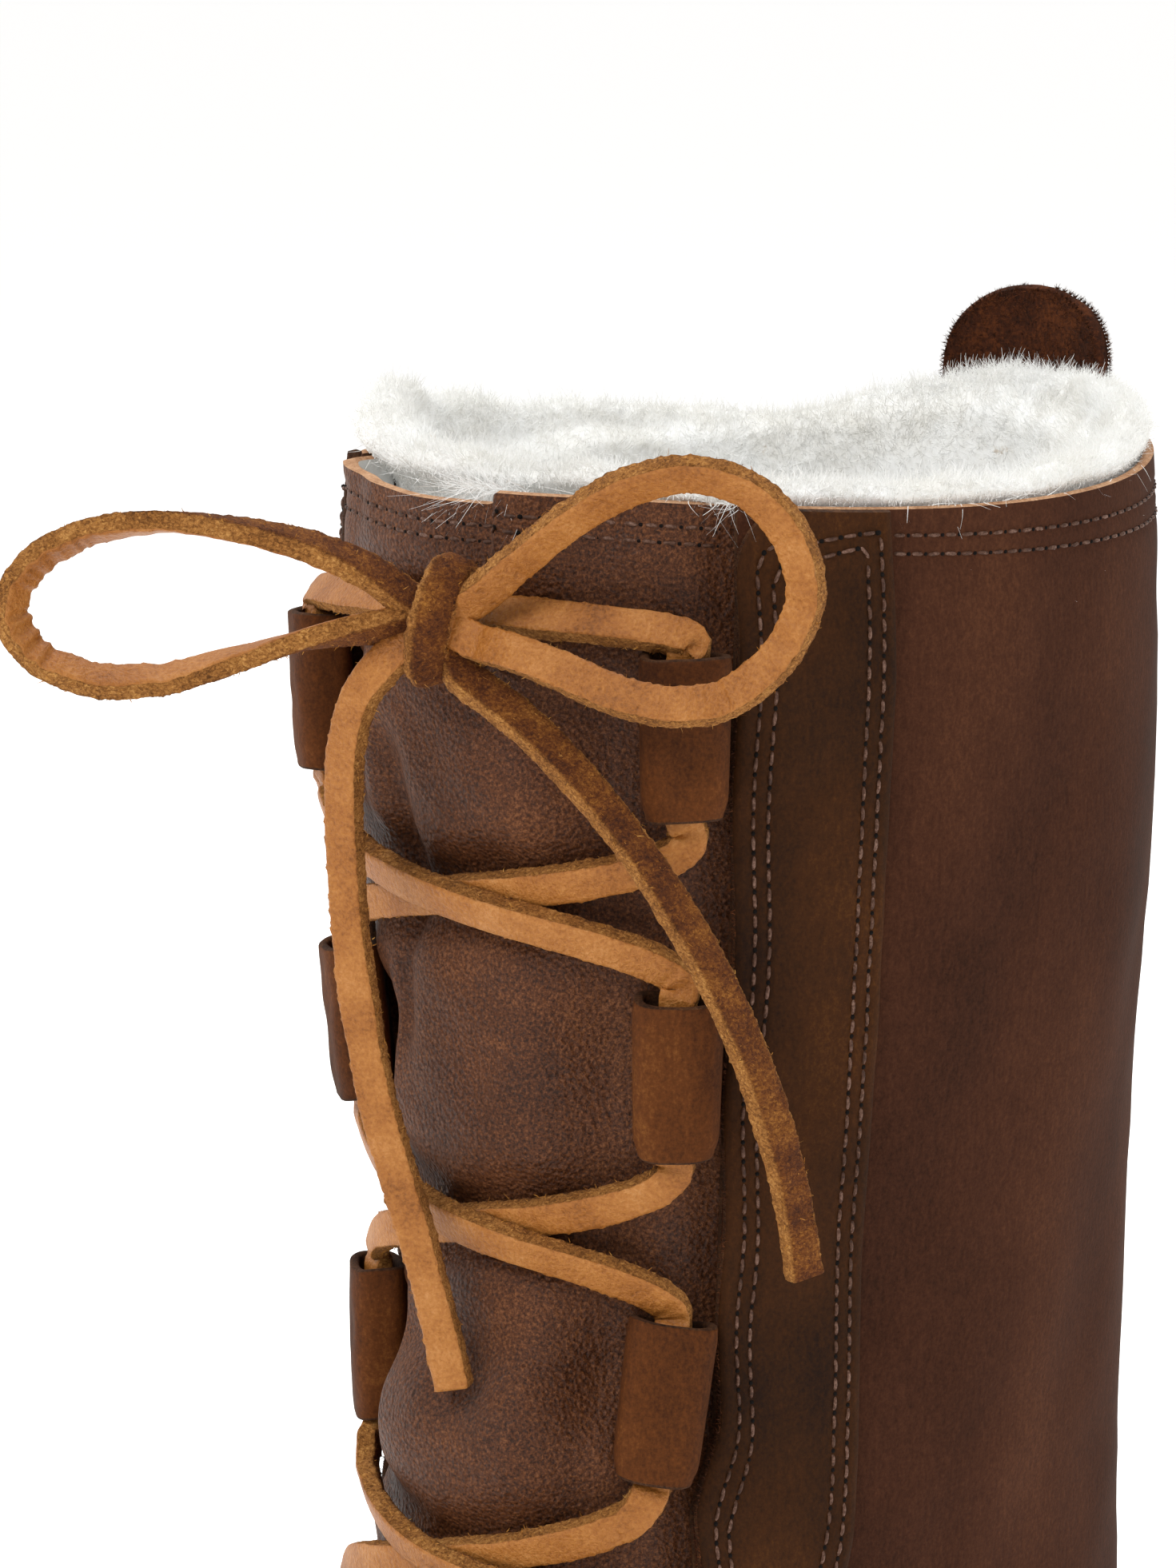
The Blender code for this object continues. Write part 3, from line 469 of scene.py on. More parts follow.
def leatherNubuck():
    # nubuck: grain leather sanded to a fine nap. It is matt and a little pale where the light
    # grazes it, with short hairs that lie downwards and cloudy places where a hand has brushed it.
    material, tree, shader, place = startMaterial("brown nubuck", 0.85, Sheen_Weight=0.03, Sheen_Roughness=0.4,
                                                  Sheen_Tint=toLinear("#c08f66"), Specular_IOR_Level=0.09)
    cloud = noise(tree, place, 26 * mm, 3, 0.5, (1, 1, 1.6))
    streak = noise(tree, place, 0.8 * mm, 2, 0.6, (1, 1, 2.5))
    grain = noise(tree, place, 0.55 * mm, 2, 0.7)
    colour = ramp(tree, weigh(tree, (cloud, 0.42), (streak, 0.24), (grain, 0.34)),
                  [(0.34, "#2c170c"), (0.46, "#3b2013"), (0.56, "#452718"), (0.68, "#54321f")])
    tree.links.new(colour, shader.inputs["Base Color"])
    setBump(tree, shader, weigh(tree, (grain, 0.7), (streak, 0.5)), 0.22 * mm, 0.55)
    return material


def leatherTongue():
    # the same nubuck, waxed by hand: a fine pebble, and a soft gloss on its swells
    material, tree, shader, place = startMaterial("waxed tongue nubuck", 0.56, Sheen_Weight=0.03, Sheen_Roughness=0.4,
                                                  Sheen_Tint=toLinear("#b98f78"), Specular_IOR_Level=0.2)
    cloud = noise(tree, place, 14 * mm, 3, 0.55)
    speck = noise(tree, place, 0.45 * mm, 2, 0.75)
    pebble = addNode(tree, "ShaderNodeTexVoronoi", {"feature": "SMOOTH_F1"}, Vector=place, Scale=1 / (0.75 * mm),
                     Smoothness=0.6).outputs["Distance"]
    colour = ramp(tree, weigh(tree, (cloud, 0.25), (speck, 0.75)),
                  [(0.36, "#2b1509"), (0.46, "#462613"), (0.54, "#573119"), (0.66, "#774a2b")])
    tree.links.new(colour, shader.inputs["Base Color"])
    tree.links.new(mapRange(tree, cloud, i1=0.3, i2=0.7, i3=0.38, i4=0.66), shader.inputs["Roughness"])
    setBump(tree, shader, weigh(tree, (pebble, 0.9), (speck, 0.6)), 0.42 * mm, 0.8)
    return material


def leatherStrap(name, dark, middle, light, rubbed):
    # oiled leather of the strips and tunnels: dense, nearly matt, with rubbed amber places
    material, tree, shader, place = startMaterial(name, 0.75, Sheen_Weight=0.01, Sheen_Roughness=0.5,
                                                  Sheen_Tint=toLinear("#b5895c"), Specular_IOR_Level=0.12)
    cloud = noise(tree, place, 18 * mm, 4, 0.55, (1, 1, 2))
    streak = noise(tree, place, 0.7 * mm, 2, 0.6, (1, 1, 2))
    speck = noise(tree, place, 0.5 * mm, 2, 0.7)
    colour = ramp(tree, weigh(tree, (cloud, 0.52), (streak, 0.2), (speck, 0.28)),
                  [(0.34, dark), (0.46, middle), (0.56, light), (0.70, rubbed)])
    tree.links.new(colour, shader.inputs["Base Color"])
    setBump(tree, shader, weigh(tree, (speck, 0.7), (streak, 0.4)), 0.18 * mm, 0.45)
    return material


def leatherLace():
    # vegetable-tanned lace cut from a hide: a smooth tan grain side that creases in bends, and a
    # golden brown flesh side and cut edges with torn fibres
    material, tree, shader, place = startMaterial("tan lace leather", 0.55, Specular_IOR_Level=0.27)
    grainSide, along, cutEdge = (addNode(tree, "ShaderNodeAttribute", {"attribute_name": name}).outputs["Fac"]
                                 for name in ("grainSide", "alongLace", "cutEdge"))
    cloud = noise(tree, place, 9 * mm, 3, 0.55)
    pore = noise(tree, place, 0.6 * mm, 2, 0.7)
    grainColour = ramp(tree, weigh(tree, (cloud, 0.55), (pore, 0.45)),
                       [(0.30, "#754314"), (0.44, "#985d25"), (0.56, "#aa6e32"), (0.72, "#bf864d")])
    fibre = noise(tree, place, 0.4 * mm, 4, 0.75, (1.3, 1.3, 1), 0.6)
    patch = noise(tree, place, 5 * mm, 3, 0.6)
    fleshColour = ramp(tree, weigh(tree, (fibre, 0.62), (patch, 0.38)),
                       [(0.37, "#3a1a08"), (0.47, "#5f310e"), (0.55, "#7d4817"), (0.66, "#ab722f")])
    cutColour = ramp(tree, weigh(tree, (fibre, 0.75), (patch, 0.25)),
                     [(0.36, "#5c3612"), (0.46, "#875523"), (0.54, "#a97136"), (0.66, "#cf9955")])
    fleshColour = blendColour(tree, "MIX", cutEdge, fleshColour, cutColour)
    torn = calc(tree, "ADD", grainSide, calc(tree, "MULTIPLY", calc(tree, "SUBTRACT", fibre, 0.5), 0.7))
    mask = mapRange(tree, torn, i1=0.42, i2=0.58)
    tree.links.new(blendColour(tree, "MIX", mask, fleshColour, grainColour), shader.inputs["Base Color"])
    tree.links.new(mapRange(tree, mask, i3=0.92, i4=0.47), shader.inputs["Roughness"])
    wave = addNode(tree, "ShaderNodeCombineXYZ", None, X=calc(tree, "MULTIPLY", along, 1 / (1.5 * mm)))
    crease = addNode(tree, "ShaderNodeTexNoise", None, Vector=wave.outputs[0], Scale=1.0, Detail=2.0).outputs["Fac"]
    crease = calc(tree, "MULTIPLY", calc(tree, "ABSOLUTE", calc(tree, "SUBTRACT", crease, 0.5)), 3.0, True)
    grainHigh = weigh(tree, (crease, 0.5), (pore, 1.8))
    fleshHigh = calc(tree, "MULTIPLY", fibre, 3.2)
    high = addNode(tree, "ShaderNodeMix", {"data_type": "FLOAT"}, i0=mask, i2=fleshHigh, i3=grainHigh).outputs[0]
    setBump(tree, shader, high, 0.22 * mm, 0.8)
    return material


def plainLeather(name, roughness, dark, middle, light, size, depth, sheen=0.2):
    # one fine pattern in three tones: cut edges, suede, torn fibres, thread, and the painted shade that darkens each
    # needle pit
    material, tree, shader, place = startMaterial(name, roughness, Sheen_Weight=sheen, Specular_IOR_Level=0.2,
                                                  Sheen_Tint=toLinear(light))
    fine = noise(tree, place, size, 3, 0.7)
    patch = noise(tree, place, size * 9, 3, 0.55)
    colour = ramp(tree, weigh(tree, (fine, 0.6), (patch, 0.4)), [(0.36, dark), (0.50, middle), (0.66, light)])
    tree.links.new(colour, shader.inputs["Base Color"])
    setBump(tree, shader, fine, depth, 0.7)
    return material


def shearling():
    # sheepskin with its wool on: white, matt and deep, with a few tan burrs
    material, tree, shader, place = startMaterial("cream shearling", 0.95, Sheen_Weight=0.3, Sheen_Roughness=0.6,
                                                  Sheen_Tint=toLinear("#ffffff"), Specular_IOR_Level=0.1,
                                                  Emission_Strength=0.03)
    lock = noise(tree, place, 9 * mm, 4, 0.6)
    fine = noise(tree, place, 1.2 * mm, 3, 0.7)
    base = ramp(tree, weigh(tree, (lock, 0.6), (fine, 0.4)),
                [(0.28, "#e3e1da"), (0.45, "#ecebe7"), (0.58, "#f4f4f2"), (0.72, "#fbfbfa")])
    burrMask = mapRange(tree, noise(tree, place, 5 * mm, 4, 0.7), i1=0.685, i2=0.76)
    colour = blendColour(tree, "MIX", calc(tree, "MULTIPLY", burrMask, 0.55), base, toLinear("#a98d62"))
    tree.links.new(colour, shader.inputs["Base Color"])
    # the emission stands for the light that wanders through the wool
    tree.links.new(colour, shader.inputs["Emission Color"])
    setBump(tree, shader, fine, 0.4 * mm, 0.3)
    return material


def rubberSole():
    # moulded rubber, slightly scuffed: dark brown, a low gloss on its rounded edges
    material, tree, shader, place = startMaterial("dark moulded rubber", 0.72, Specular_IOR_Level=0.22)
    scuff = noise(tree, place, 6 * mm, 5, 0.65)
    fine = noise(tree, place, 0.5 * mm, 2, 0.6)
    tree.links.new(ramp(tree, scuff, [(0.35, "#1f130c"), (0.55, "#2b1b12"), (0.75, "#3f2b1e")]),
                   shader.inputs["Base Color"])
    setBump(tree, shader, fine, 0.08 * mm, 0.5)
    return material


nubuck = leatherNubuck()
tongueLeather = leatherTongue()
strapLeather = leatherStrap("oiled strip leather", "#1e0d03", "#301804", "#3c1f07", "#53300f")
tunnelLeather = leatherStrap("oiled tunnel leather", "#2c1405", "#48250c", "#5a3011", "#7a4b20")
laceLeather = leatherLace()
rawEdge = plainLeather("raw cut leather edge", 0.9, "#8a5f41", "#b08562", "#cda684", 0.5 * mm, 0.2 * mm)
darkEdge = plainLeather("dark cut leather edge", 0.9, "#21130a", "#3c2413", "#5c3b22", 0.5 * mm, 0.2 * mm)
suede = plainLeather("dark brown suede", 0.95, "#1f0d04", "#3b1b09", "#5c2f11", 0.7 * mm, 0.4 * mm, 0.35)
fibreLeather = plainLeather("torn leather fibre", 0.85, "#5f3511", "#a86f2b", "#d8a65c", 0.8 * mm, 0.1 * mm, 0.1)
suedeFibre = plainLeather("suede nap fibre", 0.9, "#1f0e05", "#42200c", "#6b3c1c", 0.8 * mm, 0.1 * mm, 0.2)
thread = plainLeather("waxed linen thread", 0.5, "#33211a", "#54392b", "#86685a", 0.5 * mm, 0.1 * mm, 0.1)
# near black: the painted shade inside the needle's pierces, not a colour of the leather
needleHoleShade = plainLeather("painted needle hole shade", 0.9, "#060302", "#0b0604", "#140b07", 0.4 * mm, 0.05 * mm, 0.0)
wool = shearling()
rubber = rubberSole()
print("materials")


lace = {
    "width": 5.0 * mm,
    "thickness": 2.9 * mm,
    "step": 0.42 * mm,
    "around": 28,
    "squareness": 0.28,      # 1 would be an ellipse, and 0 a sharp box
    "crown": 0.04,
    "edgeWear": 0.12 * mm,
    "bend": 11 * mm,
    "barBend": 5 * mm,
    "gap": 0.4 * mm,
    "intoTunnel": 9 * mm,
    "puckerDepth": 0.75 * mm,
    "puckerBend": 14 * mm,   # the radius of a bend that is tight enough to pucker fully
}

# the strap that is wound round the knot, and the depth of the CAD's knot and of its lace
wrapSection = {**lace, "width": 5.7 * mm, "thickness": 2.9 * mm, "squareness": 0.62, "crown": 0.22,
               "edgeWear": 0.26 * mm}
knotDepth = 8.0 * mm
cadLace = 3.4 * mm
tunnel = {
    "count": 4, "height": 22.4 * mm, "pitch": 47.3 * mm, "topDrop": 19.8 * mm,
    "width": 12.6 * mm, "depth": 8.0 * mm, "wall": 1.35 * mm, "lip": 0.45 * mm, "seat": 1.4 * mm,
}
eyestay = {
    "thickness": 1.4 * mm, "width": 20.5 * deg, "rows": (9.3, lastRow - 0.02), "lift": form["overlayLift"],
    # the stitch rows' distances from the front, the rear and the rim, and the depth of their channels
    "frontStitches": (2.6 * mm, 4.5 * mm), "rearStitches": (1.7 * mm, 3.6 * mm), "topStitches": (2.7 * mm, 4.6 * mm),
    "groove": 0.22 * mm,
}


def bumpyLine(places, step, seed):
    # smooth random values between -1 and 1 along a line, one knot each step
    draw = np.random.default_rng(seed).uniform(-1, 1, int(places[-1] / step) + 4)
    return smoothValue(np.arange(len(draw)) * step, draw, places)


def lengthAlong(points):
    # the way gone at each point of a line
    return np.concatenate([[0], np.cumsum(np.linalg.norm(np.diff(points, axis=0), axis=1))])


def resample(points, ways):
    # even steps along a smooth route, with a direction carried along at each point
    for _ in range(2):
        reach = lengthAlong(points)
        at = np.linspace(0, reach[-1], max(int(reach[-1] / lace["step"]), 8) + 1)
        points, ways = (np.stack([smoothValue(reach, column, at) for column in rows.T], 1) for rows in (points, ways))
    return points, ways, at


def laceMesh(name, route, grainWay, seed, taper=0, section=lace):
    # a flat strap carried along a route: a rounded box section whose width lies across grainWay.
    # Its cut edges wander, its grain side puckers where the route bends towards it, and its ends
    # are rounded over the length of the taper.
    points, facing, at = resample(route, grainWay)
    tangent = unit(np.gradient(points, axis=0))
    facing = unit(facing - (facing * tangent).sum(1, keepdims=True) * tangent)
    across = np.cross(tangent, facing)
    curve = np.gradient(tangent, axis=0) / lace["step"]
    inward = np.clip((curve * facing).sum(1) * lace["puckerBend"], 0, 1)
    turn = np.linspace(0, 2 * math.pi, lace["around"] + 1)[:-1]
    flatX, flatY = squared(np.cos(turn), section["squareness"]), squared(np.sin(turn), section["squareness"])
    wander = 0.045 * bumpyLine(at, 8 * mm, seed) + 0.015 * bumpyLine(at, 1.3 * mm, seed + 1)
    wide = section["width"] / 2 * (1 + wander)
    thick = section["thickness"] / 2 * (1 + 0.07 * bumpyLine(at, 9 * mm, seed + 2))
    ends = np.ones_like(at)
    if taper:
        for distance in (at, at[-1] - at):
            ends *= np.sqrt(np.clip(1 - (1 - np.clip(distance / taper, 0, 1)) ** 2, 0.02, 1))
    noiseGrid = np.random.default_rng(seed + 5).normal(0, 1, (len(at), len(turn)))
    noiseGrid = (noiseGrid + np.roll(noiseGrid, 1, 1) + np.roll(noiseGrid, 1, 0)) / 3
    rough = np.where(flatY[None, :] > 0.8, 0.15, 1.0) * section["edgeWear"] * noiseGrid
    pucker = bumpyLine(at, 1.5 * mm, seed + 8)[:, None] * np.clip(flatY, 0, 1)[None, :]
    pucker = -np.abs(pucker) * inward[:, None] * lace["puckerDepth"]
    crown = section["crown"] * (1 - flatX**2)
    x = flatX[None, :] * (wide * ends)[:, None] + rough * np.sign(flatX)[None, :] * (np.abs(flatX) > 0.8)
    y = (flatY * (1 + crown))[None, :] * (thick * ends)[:, None] + rough * np.sign(flatY)[None, :] + pucker
    grid = points[:, None, :] + x[..., None] * across[:, None, :] + y[..., None] * facing[:, None, :]
    count, sides = grid.shape[:2]
    allPoints = np.concatenate([grid.reshape(-1, 3), points[:1], points[-1:]])
    body = gridFaces(count, sides, wrapColumns=True)
    side = np.arange(sides)
    cap = np.stack([side, (side + 1) % sides], 1)
    startCap = np.insert(cap, 2, count * sides, axis=1)[:, ::-1]
    endCap = np.insert(cap + (count - 1) * sides, 2, count * sides + 1, axis=1)
    triangles = np.concatenate([np.delete(body, 3, 1), np.delete(body, 1, 1), startCap, endCap])
    grainSide = np.broadcast_to(ease((flatY - 0.62) / 0.3), (count, sides))
    cutEdge = np.broadcast_to(ease((np.abs(flatX) - 0.8) / 0.15) * ease((flatY + 1.05) / 0.3), (count, sides))
    thing = addMesh(name, allPoints, triangles, [laceLeather], attributes={
        "grainSide": np.append(grainSide.ravel(), [0, 0]),
        "cutEdge": np.append(cutEdge.ravel(), [1, 1]),
        "alongLace": np.append(np.repeat(at, sides), [0, at[-1]]),
    })
    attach(thing, "root")
    return thing, points, at, across, facing


fuzzTufts = []


def collectFuzz(points, at, across, facing, seed, density=1500, clear=4 * mm):
    # torn fibres along both cut edges and over the flesh side but clear of both ends, joined later
    # in one piece. The density counts fibres for each metre of each edge.
    draw = np.random.default_rng(seed)
    count = int(at[-1] * density * 2)
    place = draw.uniform(clear, max(at[-1] - clear, clear + 0.1 * mm), count)
    k = np.clip(np.searchsorted(at, place), 0, len(at) - 1)
    which = draw.random(count)
    side = np.where(draw.random(count) < 0.5, -1, 1)
    onEdge = which < 0.62
    x = np.where(onEdge, side, draw.uniform(-1, 1, count)) * lace["width"] / 2 * 0.97
    y = np.where(onEdge, draw.uniform(-1.0, 0.35, count), -1.0) * lace["thickness"] / 2 * 0.95
    root = points[k] + across[k] * x[:, None] + facing[k] * y[:, None]
    away = np.where(onEdge[:, None], across[k] * side[:, None], -facing[k])
    tangent = np.gradient(points, axis=0)[k]
    lean = unit(away * 0.8 + unit(tangent) * draw.normal(0, 0.9, (count, 1)) + draw.normal(0, 0.45, (count, 3)))
    size = draw.uniform(0.25, 0.85, count) * mm * np.where(draw.random(count) < 0.06, 1.7, 1)
    fuzzTufts.append((root, lean, size))


def fibreMesh(name, root, lean, size, width, material, seed, curl=0.5, joints=2):
    # each fibre is a thin bent strip of two quads or more, narrowing to its tip
    draw = np.random.default_rng(seed)
    side = unit(np.cross(lean, draw.normal(0, 1, lean.shape)))
    sag = unit(draw.normal(0, 1, lean.shape)) * curl
    steps = np.linspace(0, 1, joints + 1)
    rows = []
    for t in steps:
        centre = root + size[:, None] * (lean * t + sag * t * t * 0.5)
        half = side * (width * (1 - 0.75 * t) / 2)
        rows.append(np.stack([centre - half, centre + half], 1))
    points = np.stack(rows, 1)
    count = len(root)
    base = np.arange(count)[:, None] * (2 * (joints + 1))
    quads = [np.hstack([base + 2 * k, base + 2 * k + 1, base + 2 * k + 3, base + 2 * k + 2]) for k in range(joints)]
    return addMesh(name, points.reshape(-1, 3), np.concatenate(quads), [material])


def frameAt(angle, height):
    # a tunnel's centre there, and its ways across, out and up
    row = rowAtHeight(angle, height)
    normal = upperNormal(angle, row)
    up = upperPoint(angle, row + 0.1) - upperPoint(angle, row - 0.1)
    up = unit(up - normal * up.dot(normal))
    centre = upperPoint(angle, row) + normal * (tunnel["seat"] + tunnel["depth"] / 2)
    return centre, np.cross(up, normal), normal, up


def tunnelFrame(side, index):
    # as in the CAD: moved round until its rear wall stops just short of the strip's front edge
    edge = side * (form["throatOuter"] if side > 0 else form["throatInner"])
    height = form["rimHeight"] - tunnel["topDrop"] - tunnel["height"] / 2 - index * tunnel["pitch"]
    levels = height + np.linspace(-0.5, 0.5, 5) * tunnel["height"]
    edgeLine = shaftPoint(np.full(5, edge), levels, form["overlayLift"] + eyestay["thickness"])
    angle = edge - side * tunnel["width"] / form["shaftWidth"]
    for _ in range(8):
        centre, across, *_ = frameAt(angle, height)
        room = (side * (edgeLine - centre) @ across).min() - tunnel["width"] / 2 - form["clearance"]
        angle += side * room / (form["shaftWidth"] / 2)
    return frameAt(angle, height)


tunnelFrames = {(side, index): tunnelFrame(side, index) for side in (1, -1) for index in range(tunnel["count"])}


def mouth(side, index, end):
    # the point where the lace leaves a tunnel at its upper or lower end, and the way it goes there
    centre, _, _, up = tunnelFrames[side, index]
    return centre + up * end * (tunnel["height"] / 2 + lace["gap"]), up * end


def stretchRoute(start, end, bend):
    # out of one mouth and into the other: a curve in angle and height on the tongue's swell
    (a, aWay), (b, bWay) = start, end
    t = np.linspace(0, 1, 40)
    middle = form["shaftWidth"] / 2 * 0.9
    angles = [math.asin(point[0] / middle) for point in (a, b)]
    shares = [(1 - t) ** 3, 3 * t * (1 - t) ** 2, 3 * t**2 * (1 - t), t**3]
    angle = angles[0] * (shares[0] + shares[1]) + angles[1] * (shares[2] + shares[3])
    level = (shares[0] * a[2] + shares[1] * (a[2] + aWay[2] * bend)
             + shares[2] * (b[2] + bWay[2] * bend) + shares[3] * b[2])
    points = shaftPoint(angle, level, tunnel["seat"] + tunnel["depth"] / 2)
    return points + np.outer((1 - t) ** 4, a - points[0]) + np.outer(t**4, b - points[-1])


# the knot and the free laces: millimetres across, up and out from the knot's centre, as in the CAD
bow = {
    "facing": 37 * deg,
    "knotAngle": 1 * deg,
    "knotRise": 3.0 * mm,
    "loopInner": [
        (-4.8, 3.4, 0.5), (-9, 6.4, 1), (-16, 9.7, 2), (-27, 12.6, 3), (-38, 13.6, 4), (-48, 11.6, 4),
        (-54.5, 7.2, 4), (-56.8, 2.2, 4), (-54.5, -3.0, 4), (-47, -7.2, 4), (-38, -7.6, 3), (-27, -5.0, 2),
        (-16, -2.0, 1.5), (-9, -0.9, 1), (-5.0, -0.4, 0.5)],
    "loopOuter": [
        (4.4, 2.9, 2), (10.8, 8.6, 5), (18.5, 15.3, 10), (26, 19.8, 14), (33.5, 21.5, 16.5), (41.5, 19.1, 17.5),
        (46.8, 12.8, 17.5), (48.4, 5.8, 17.5), (46.2, -0.6, 17.5), (42.0, -5.4, 17.5), (37.4, -8.3, 17),
        (31.5, -9.2, 16.5), (24.5, -8.2, 14.5), (16.1, -5.2, 10.5), (9.7, -3.3, 6.5), (4.7, -2.4, 2.5)],
    "endInner": [
        (-5.8, -4.4, 1), (-8.0, -6.6, 1), (-10.4, -10.0, 0), (-12.4, -16.5, -1.5), (-13.0, -25, -3),
        (-12.8, -35, -4), (-12.0, -46, -4.5), (-10.6, -57, -5), (-8.6, -68, -5), (-5.6, -79, -5.5),
        (-2.6, -90, -6), (0.0, -101, -6.5), (1.5, -108, -6.5)],
    "endOuter": [
        (3.3, -7.4, 1.2), (7.2, -10.1, 3), (13.0, -14.6, 5.5), (19.0, -20.6, 8), (25.4, -28.2, 10),
        (31.2, -36.6, 11.5), (36.6, -46, 12), (41.2, -56, 12), (44.6, -66, 11.5), (47.2, -76, 10.5),
        (48.6, -84, 9.5), (49.2, -88, 9)],
}
bowAxes = np.array([[math.cos(bow["facing"]), math.sin(bow["facing"]), 0], [0, 0, 1],
                    [math.sin(bow["facing"]), -math.cos(bow["facing"]), 0]])
knotLift = tunnel["seat"] + (tunnel["depth"] + cadLace + knotDepth) / 2 + 2 * form["clearance"]
knotHeight = form["rimHeight"] - tunnel["topDrop"] + bow["knotRise"]
knotCentre = shaftPoint(np.array(bow["knotAngle"]), np.array(knotHeight), np.array(knotLift))


def bowRoute(rows):
    # a lace of the bow goes on under the knot's wrap: a free end at its start, and a loop at both
    rows = np.array(rows, float)
    underWrap = [0.3, 0.35, 0.3]
    isLoop = np.hypot(*rows[-1, :2]) < 8
    parts = [rows[:1] * underWrap, rows] + ([rows[-1:] * underWrap] if isLoop else [])
    return knotCentre + np.concatenate(parts) * mm @ bowAxes


def smoothStrand(points, count=24):
    # rows of three values joined smoothly, at even shares of the way
    points = np.array(points, float)
    at = np.linspace(0, len(points) - 1, count)
    return np.stack([smoothValue(np.arange(len(points)), points[:, k], at) for k in range(3)], 1)


# the way the smooth grain side faces, as across, up and out, at even shares of each free lace
grainWays = {
    "loopInner": [(0.1, -0.75, -0.65), (0.1, -0.8, -0.55), (0.2, -0.95, -0.1), (0.5, -0.75, 0.45), (0.9, 0.0, 0.55),
                  (0.5, 0.75, 0.45), (0.2, 0.95, 0.1), (0.1, 0.75, -0.6), (0.1, 0.5, -0.85)],
    "loopOuter": [(0.2, -0.35, 0.9), (0.2, -0.4, 0.9), (0.0, -0.6, 0.8), (-0.35, -0.45, 0.82), (-0.55, 0.0, 0.83),
                  (-0.35, 0.45, 0.82), (0.0, 0.5, 0.86), (-0.15, 0.35, 0.92), (-0.1, 0.2, 0.97)],
    "endInner": [(-0.5, 0.3, 0.8), (-0.6, 0.1, 0.8), (-0.5, 0, 0.87), (-0.35, 0, 0.94), (-0.3, 0, 0.95),
                 (-0.3, 0, 0.95)],
    "endOuter": [(-0.4, -0.45, -0.8), (-0.45, -0.4, -0.8), (-0.5, -0.35, -0.8), (-0.55, -0.25, -0.8),
                 (-0.6, -0.15, -0.8), (-0.5, 0.0, -0.86)],
}
freeLaces = [
    # node, its route and the way its grain side faces, far end, seed
    ("bow_loop_inner", "loopInner", "knot", 31),
    ("bow_loop_outer", "loopOuter", "knot", 47),
    ("lace_end_inner", "endInner", "bare", 59),
    ("lace_end_outer", "endOuter", "bare", 71),
]
laceThings = {}
for name, key, farEnd, seed in freeLaces:
    route = bowRoute(bow[key])
    ways = smoothStrand(grainWays[key], len(route)) @ bowAxes
    thing, points, at, across, facing = laceMesh(name + "_strap", route, ways, seed)
    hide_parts(name)
    collectFuzz(points, at, across, facing, seed)
    laceThings[name] = (thing, points, at[-1], farEnd)
print("free laces", {name: round(float(item[2]) * 1000, 1) for name, item in laceThings.items()})

knotStrands = [
    # millimetres across, up and out of a strand's start, middle and end, and the way its grain side faces
    ((-2.4, 2.6, 0.3), (-1, 2.2, 0.8), (2.2, 2.8, 1.2), (0.1, -0.7, 0.5)),
    ((-2.5, -0.2, 0.4), (-1, 0.0, 0.4), (2.3, -0.6, 1.2), (0, 0.4, 0.8)),
    ((-2.6, -3.2, 0.6), (-1, -3.0, 0.2), (1.8, -3.8, 0.8), (0.2, 0.5, 0.7)),
]


def makeKnot():
    # a wrap that goes up and over the core, leaning over from back to front and bowed to the left
    turns = np.linspace(-0.70 * math.pi, 0.80 * math.pi, 80)
    up, out = np.sin(turns), np.cos(turns)
    offsets = np.stack([1.2 * up, 6.9 * up, 3.9 * out], 1)
    offsets[:, 0] += 0.7 + 0.4 * up - 1.9 * out
    ways = np.stack([np.full_like(turns, -0.45), -up * 0.8, -out], 1) @ bowAxes
    wrap, points, at, across, facing = laceMesh("knot_wrap", knotCentre + offsets * mm @ bowAxes, ways, 91, 1 * mm,
                                                wrapSection)
    collectFuzz(points, at, across, facing, 93, 2400, 1 * mm)
    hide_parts("lace_knot")
    core = []
    for k, (*strand, way) in enumerate(knotStrands):
        route = knotCentre + smoothStrand(strand) * mm @ bowAxes
        ways = np.repeat(np.array([way]), len(route), 0) @ bowAxes
        core.append(laceMesh(f"knot_core_{k + 1}", route, ways, 110 + 7 * k)[0])
    return wrap, core


knotWrap, knotCore = makeKnot()

lastTunnel = tunnel["count"] - 1
crossings = [
    # node, and its strands: both mouths, bend, and one for over its partner or minus one for under
    *((f"lace_cross_{index + 1}", [
        (mouth(-1, index, -1), mouth(1, index + 1, 1), lace["bend"], 1.0),
        (mouth(1, index, -1), mouth(-1, index + 1, 1), lace["bend"], -1.0)]) for index in range(lastTunnel)),
    ("lace_top_bar", [(mouth(1, 0, 1), mouth(-1, 0, 1), lace["barBend"], 0.0)]),
    ("lace_bottom_bar", [(mouth(1, lastTunnel, -1), mouth(-1, lastTunnel, -1), lace["barBend"], 0.0)]),
]


def joinMeshes(name, things):
    # one object from several, keeping their materials and attributes
    for thing in things:
        thing.select_set(True)
    bpy.context.view_layer.objects.active = things[0]
    with bpy.context.temp_override(active_object=things[0], selected_editable_objects=things, object=things[0]):
        bpy.ops.object.join()
    things[0].name = name
    things[0].data.name = name
    for thing in bpy.data.objects:
        thing.select_set(False)
    return things[0]


def settledRoute(start, end, bend, over):
    # a strand goes on into both tunnels, and lies low on the tongue but over or under its partner
    route = stretchRoute(start, end, bend)
    t = np.linspace(0, 1, len(route))
    normal = unit((route - [0, shaftAxis, 0]) * [1, 1, 0])
    rise = (-1.1 * mm * np.sin(math.pi * t) ** 2 + over * 1.45 * mm * hump(t, 0.5, 0.2)
            + abs(over) * 0.45 * mm * hump(t, 0.5, 0.25))
    route = route + normal * rise[:, None]
    inside = np.linspace(lace["intoTunnel"], 0.8 * mm, 6)[:, None]
    return np.concatenate([start[0] - start[1] * inside, route, end[0] - end[1] * inside[::-1]])


